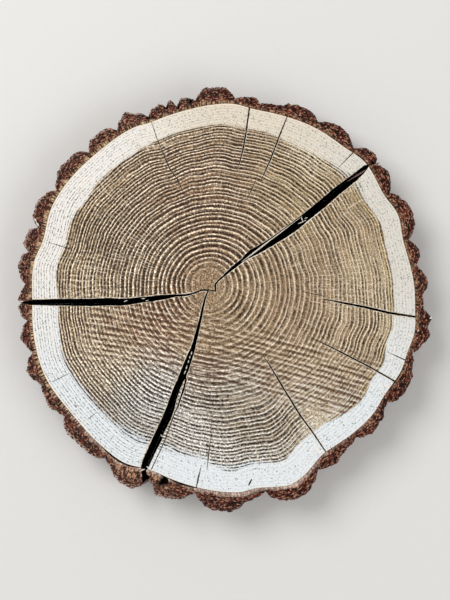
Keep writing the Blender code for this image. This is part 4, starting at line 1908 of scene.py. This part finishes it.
    def grow(self, bm: bmesh.types.BMesh, section: Sequence[Mark]) -> None:
        """Bend the grid into the bark and map its depth over it.

        Args:
            bm: The grid.
            section: The section's points.
        """
        shape = self.shape
        layer = bm.loops.layers.uv.new(Maps.BARK.value)
        low, high = shape.bark_set_back, shape.thickness - shape.bark_set_back
        edges: dict[Mark, float] = {}
        for vert in bm.verts:
            bearing = vert.co.x % FULL_TURN
            across, up = section[int(vert.co.y)]
            seat = shape.bark_seat(bearing)
            level = min(max(up * shape.thickness, low), high)
            if across == 0.0:
                radius = seat
            else:
                key = (bearing, up)
                if key not in edges:
                    edges[key] = self.outer_radius(bearing, up)
                radius = seat + (edges[key] - seat) * across
            if up in (0.0, 1.0) and across > 0.0:
                here = shape.polar(bearing, radius, level)
                down = self.sink(here, across) if up == 1.0 else 0.5 * self.sink(here, across)
                level += -down if up == 1.0 else down
            elif across > 0.0:
                level = min(max(level, low + self.side_margin), high - self.side_margin)
            vert.co = shape.polar(bearing, radius, level)
            depth = (radius - shape.wood_edge(bearing)) / MM
            for loop in vert.link_loops:
                loop[layer].uv = (depth, across)
        bmesh.ops.remove_doubles(bm, verts=bm.verts, dist=WELD)

    def build(self, finishes: Sequence[bpy.types.Material],
              cutters: Sequence[bpy.types.Object]) -> bpy.types.Object:
        """Make the ring.

        Args:
            finishes: Bark, then the crack wall's painted shade for the walls and for the lips.
            cutters: The through cracks' shapes.

        Returns:
            The finished piece.
        """
        section = self.section()
        bm = roll(self.bearings, section)
        self.grow(bm, section)
        piece = add_piece("bark_ring", bm, finishes)
        carve(piece, cutters)
        piece.data.shade_smooth()
        piece.data.set_sharp_from_angle(angle=self.crease)
        return piece


class Tone(Enum):
    """How fresh a splinter's wood looks."""

    FRESH = "splinter_fresh"
    BROWN = "splinter_brown"
    TAN = "splinter_tan"


SPLINTER_COLOURS = (
    (Tone.FRESH, srgb(252, 246, 234), srgb(214, 200, 178)),
    (Tone.BROWN, srgb(160, 134, 122), srgb(84, 66, 60)),
    (Tone.TAN, srgb(178, 148, 118), srgb(104, 78, 58)),
)


@dataclass(frozen=True)
class Splinter:
    """A fibre that stands in a crack, its points given as photograph x, y and width in pixels."""

    name: str
    tone: Tone
    points: tuple[CrackPoint, ...]
    drop: float = 0.15 * MM
    depth: float = 4.0 * MM


SPLINTERS = (
    Splinter("fork", Tone.FRESH, (
        (241.6, 261.8, 0.8), (247.2, 258.0, 1.6), (253.1, 253.4, 2.0), (261.4, 247.1, 1.8),
        (270.5, 239.9, 1.5), (277.9, 234.6, 1.4), (285.4, 228.9, 1.3), (293.7, 222.6, 1.0),
        (302.0, 216.4, 0.8)), depth=7.0 * MM),
    Splinter("tuft_a", Tone.FRESH, ((301.4, 216.8, 0.7), (302.0, 219.0, 1.0), (303.2, 221.0, 0.6))),
    Splinter("tuft_b", Tone.FRESH, ((304.8, 218.8, 0.6), (306.2, 218.0, 1.0), (307.8, 217.6, 0.6))),
    Splinter("tuft_c", Tone.FRESH, ((298.2, 223.8, 0.6), (302.2, 222.2, 1.0), (306.4, 220.0, 0.6))),
    Splinter("bridge_brown", Tone.BROWN, (
        (347.5, 181.8, 0.5), (352.5, 178.5, 1.2), (357.5, 175.6, 1.7), (362.0, 172.9, 1.8),
        (366.5, 170.0, 1.6), (370.5, 167.6, 1.2)), drop=0.8 * MM, depth=8.0 * MM),
    Splinter("bridge_tan", Tone.TAN, (
        (367.5, 169.2, 0.8), (371.5, 167.0, 2.2), (375.8, 164.7, 3.2), (379.6, 162.8, 1.8)),
        drop=0.3 * MM, depth=5.0 * MM),
    Splinter("west_a", Tone.FRESH, ((141.4, 298.6, 0.8), (143.0, 298.4, 1.4), (144.8, 298.4, 0.9))),
    Splinter("west_b", Tone.FRESH, ((145.4, 301.2, 0.7), (147.0, 300.6, 1.2), (148.4, 300.2, 0.6))),
    Splinter("west_c", Tone.FRESH, ((123.6, 301.8, 0.6), (125.6, 300.8, 1.0), (127.4, 300.2, 0.6))),
    Splinter("west_tip", Tone.FRESH, ((19.6, 301.8, 0.8), (21.8, 301.3, 1.6), (24.0, 300.6, 0.9))),
    Splinter("south_a", Tone.FRESH, ((191.7, 351.4, 0.7), (191.4, 353.2, 1.4), (191.0, 355.0, 0.7))),
    Splinter("south_b", Tone.FRESH, ((190.0, 355.8, 0.7), (189.7, 357.2, 1.4), (189.3, 358.8, 0.7))),
    Splinter("south_c", Tone.FRESH, ((188.6, 360.0, 0.7), (188.3, 361.6, 1.3), (187.9, 363.2, 0.7))),
    Splinter("south_d", Tone.FRESH, ((186.9, 365.2, 0.7), (186.4, 367.4, 1.4), (186.0, 369.4, 0.7))),
    Splinter("south_e", Tone.FRESH, ((185.6, 370.4, 0.6), (184.9, 372.2, 1.3), (184.0, 374.2, 0.8))),
    Splinter("south_tongue", Tone.FRESH, (
        (146.4, 466.6, 1.0), (148.4, 468.2, 2.6), (150.6, 470.2, 2.2), (152.2, 471.6, 1.0)),
        depth=3.0 * MM),
    Splinter("south_f", Tone.FRESH, ((160.4, 434.6, 0.6), (161.6, 436.2, 1.2), (163.6, 437.4, 0.8))),
    Splinter("south_chip", Tone.FRESH, (
        (139.6, 471.4, 0.8), (142.0, 470.0, 1.8), (144.6, 469.4, 0.9))),
    Splinter("bark_chip_a", Tone.FRESH, (
        (33.8, 217.8, 0.9), (35.2, 219.6, 2.2), (36.6, 221.4, 1.2)), depth=3.0 * MM),
    Splinter("bark_chip_b", Tone.FRESH, (
        (36.0, 221.6, 0.9), (37.5, 224.0, 2.4), (38.8, 226.0, 1.2)), depth=3.0 * MM),
    Splinter("bark_chip_c", Tone.FRESH, (
        (429.0, 318.8, 1.2), (430.6, 318.0, 3.2), (432.2, 317.0, 1.4)), depth=3.0 * MM),
    Splinter("bark_chip_d", Tone.FRESH, (
        (417.2, 331.4, 0.9), (418.2, 331.0, 1.8), (419.2, 330.6, 0.9)), depth=2.0 * MM),
)


@dataclass
class SplinterSet:
    """Makes the splinters, each a tapered strip that reaches down its crack."""

    shape: LogShape
    finishes: dict[Tone, bpy.types.Material]
    pieces_along: int = 14
    corners: int = 8
    centre: tuple[float, float] = (224.5, 299.5)
    bluntness: float = 0.3
    roughness: float = 0.5
    clear_of_face: float = 0.05 * MM

    def place(self, x: float, y: float) -> Vector:
        """Turn a place in the photograph into one on the upper face.

        Args:
            x: Pixels from the left.
            y: Pixels from the top.

        Returns:
            The place, at height 0.
        """
        return Vector(((x - self.centre[0]) * PIXEL, (self.centre[1] - y) * PIXEL, 0.0))

    def build(self, splinter: Splinter, seed: float) -> bpy.types.Object:
        """Make one splinter.

        Args:
            splinter: Its shape.
            seed: Which roughness it gets.

        Returns:
            The piece.
        """
        marks = [(self.place(x, y), 0.5 * width * PIXEL) for x, y, width in splinter.points]
        bm = bmesh.new()
        bmesh.ops.create_grid(
            bm, x_segments=self.pieces_along, y_segments=self.corners, size=0.5)
        for vert in bm.verts:
            run = (vert.co.x + 0.5) * (len(marks) - 1)
            step = min(int(run), len(marks) - 2)
            (start, half_a), (end, half_b) = marks[step], marks[step + 1]
            middle = start.lerp(end, run - step)
            along = min(max(vert.co.x + 0.5, 0.02), 0.98)
            taper = math.sin(math.pi * along) ** self.bluntness
            half = (half_a + (half_b - half_a) * (run - step)) * taper
            side = (end - start).normalized().cross(Vector((0.0, 0.0, 1.0)))
            angle = math.tau * (vert.co.y + 0.5)
            spot = Vector((seed, 9.0 * vert.co.x, 3.0 * math.cos(angle)))
            rough = 1.0 + self.roughness * noise.noise(spot)
            across = middle + side * (half * rough * math.cos(angle))
            top = self.shape.thickness
            level = top - splinter.drop - 0.5 * splinter.depth * (
                1.0 - math.sin(angle) * (0.85 + 0.15 * rough))
            vert.co = self.shape.turned(across, min(level, top - self.clear_of_face))
        bmesh.ops.remove_doubles(bm, verts=bm.verts, dist=WELD)
        ends = [edge for edge in bm.edges if edge.is_boundary]
        bmesh.ops.holes_fill(bm, edges=ends, sides=0)
        piece = add_piece("splinter_" + splinter.name, bm, (self.finishes[splinter.tone],))
        piece.data.shade_smooth()
        return piece


@dataclass(frozen=True)
class SoftLight:
    """A round soft light: where it hangs, its width in metres and its power in watts."""

    name: str
    place: tuple[float, float, float]
    size: float
    power: float


@dataclass
class Studio:
    """A pale floor, soft lights and a camera straight above the slice."""

    floor_size: float = 16.0
    lights: tuple[SoftLight, ...] = (
        SoftLight("key", (-0.9, 0.8, 1.5), 1.2, 22.0),
        SoftLight("fill", (1.2, -0.7, 1.6), 1.6, 12.0),
    )
    glow: float = 0.45
    lens: float = 85.0
    sensor: float = 36.0
    frame_height: float = 600 * PIXEL
    centre: tuple[float, float] = (0.35 * MM, -0.35 * MM)

    def lay_floor(self) -> bpy.types.Object:
        """Lay the floor.

        Returns:
            The floor.
        """
        bm = bmesh.new()
        bmesh.ops.create_grid(bm, x_segments=8, y_segments=8, size=0.5 * self.floor_size)
        floor = add_piece("floor", bm, (FloorFinish().make(),))
        floor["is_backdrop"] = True
        return floor

    def hang_light(self, plan: SoftLight, aim: Vector) -> bpy.types.Object:
        """Hang one soft light.

        Args:
            plan: The light wanted.
            aim: What it points at.

        Returns:
            The light.
        """
        lamp = bpy.data.lights.new(plan.name, "AREA")
        lamp.shape = "DISK"
        lamp.size = plan.size
        lamp.energy = plan.power
        light = bpy.data.objects.new(plan.name, lamp)
        light.location = plan.place
        light.rotation_mode = "QUATERNION"
        light.rotation_quaternion = (aim - Vector(plan.place)).to_track_quat("-Z", "Y")
        bpy.context.scene.collection.objects.link(light)
        return light

    def aim_camera(self, top: float) -> bpy.types.Object:
        """Look straight down at the upper face, framed as the photograph is.

        Args:
            top: The height of the upper face.

        Returns:
            The camera.
        """
        view = bpy.data.cameras.new("camera")
        view.lens = self.lens
        view.sensor_width = self.sensor
        view.dof.use_dof = False
        camera = bpy.data.objects.new("camera", view)
        distance = self.frame_height * self.lens / self.sensor
        camera.location = (*self.centre, top + distance)
        bpy.context.scene.collection.objects.link(camera)
        bpy.context.scene.camera = camera
        return camera

    def build(self, top: float) -> None:
        """Set up the whole studio.

        Args:
            top: The height of the upper face.
        """
        self.lay_floor()
        for plan in self.lights:
            self.hang_light(plan, Vector((0.0, 0.0, top)))
        world = bpy.context.scene.world or bpy.data.worlds.new("studio")
        bpy.context.scene.world = world
        world.use_nodes = True
        backdrop = world.node_tree.nodes["Background"]
        backdrop.inputs["Color"].default_value = (1.0, 1.0, 1.0, 1.0)
        backdrop.inputs["Strength"].default_value = self.glow
        self.aim_camera(top)
        bpy.context.scene.view_settings.view_transform = "Standard"


def corners() -> list[list[float]]:
    """The shown object's lowest and highest corners as plain lists."""
    return [list(corner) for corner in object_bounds()]


def install(piece: bpy.types.Object, what: str) -> None:
    """Fix a finished piece to the slice and report it.

    Args:
        piece: The piece.
        what: What it is, in plain words.
    """
    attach(piece, "root")
    LOG.info("%s (%s): %d faces", piece.name, what, len(piece.data.polygons))


def main() -> None:
    """Build every piece in order and report it."""
    logging.basicConfig(level=logging.INFO, format="%(message)s")
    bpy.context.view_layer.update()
    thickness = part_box("wood")[1].z
    shape = LogShape(thickness=thickness, pith=Vector(PITH))
    Studio().build(thickness)

    end_grain = EndGrainFinish(shape.pith).make()
    # The crack walls get painted shade: a near-black colour that stands for the shade inside the
    # cracks.
    crack_wall = CrackShadeFinish().make()
    crack_lip = LipFinish().make()
    bark_skin = BarkFinish(shape.pith, thickness).make()
    fibres = {tone: SplinterFinish(tone.value, base, shaded).make()
              for tone, base, shaded in SPLINTER_COLOURS}

    cut_finishes = (end_grain, crack_wall, crack_lip)
    maker = CrackCutters(shape, cut_finishes)
    cutters = [maker.build(crack, float(index)) for index, crack in enumerate(CRACKS)]
    wide = [cutter for cutter, crack in zip(cutters, CRACKS) if crack.kind is CrackKind.THROUGH]

    disc = WoodDisc(shape).build(cut_finishes, cutters)
    install(disc, "wood")
    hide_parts("wood")
    ring = BarkRing(shape).build((bark_skin, crack_wall, crack_wall), wide)
    install(ring, "bark")
    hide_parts("bark")
    splinters = SplinterSet(shape, fibres)
    for index, splinter in enumerate(SPLINTERS):
        install(splinters.build(splinter, 3.0 * index), "fibre in a crack")

    for cutter in cutters:
        bpy.data.objects.remove(cutter, do_unlink=True)


if __name__ == "__main__":
    main()
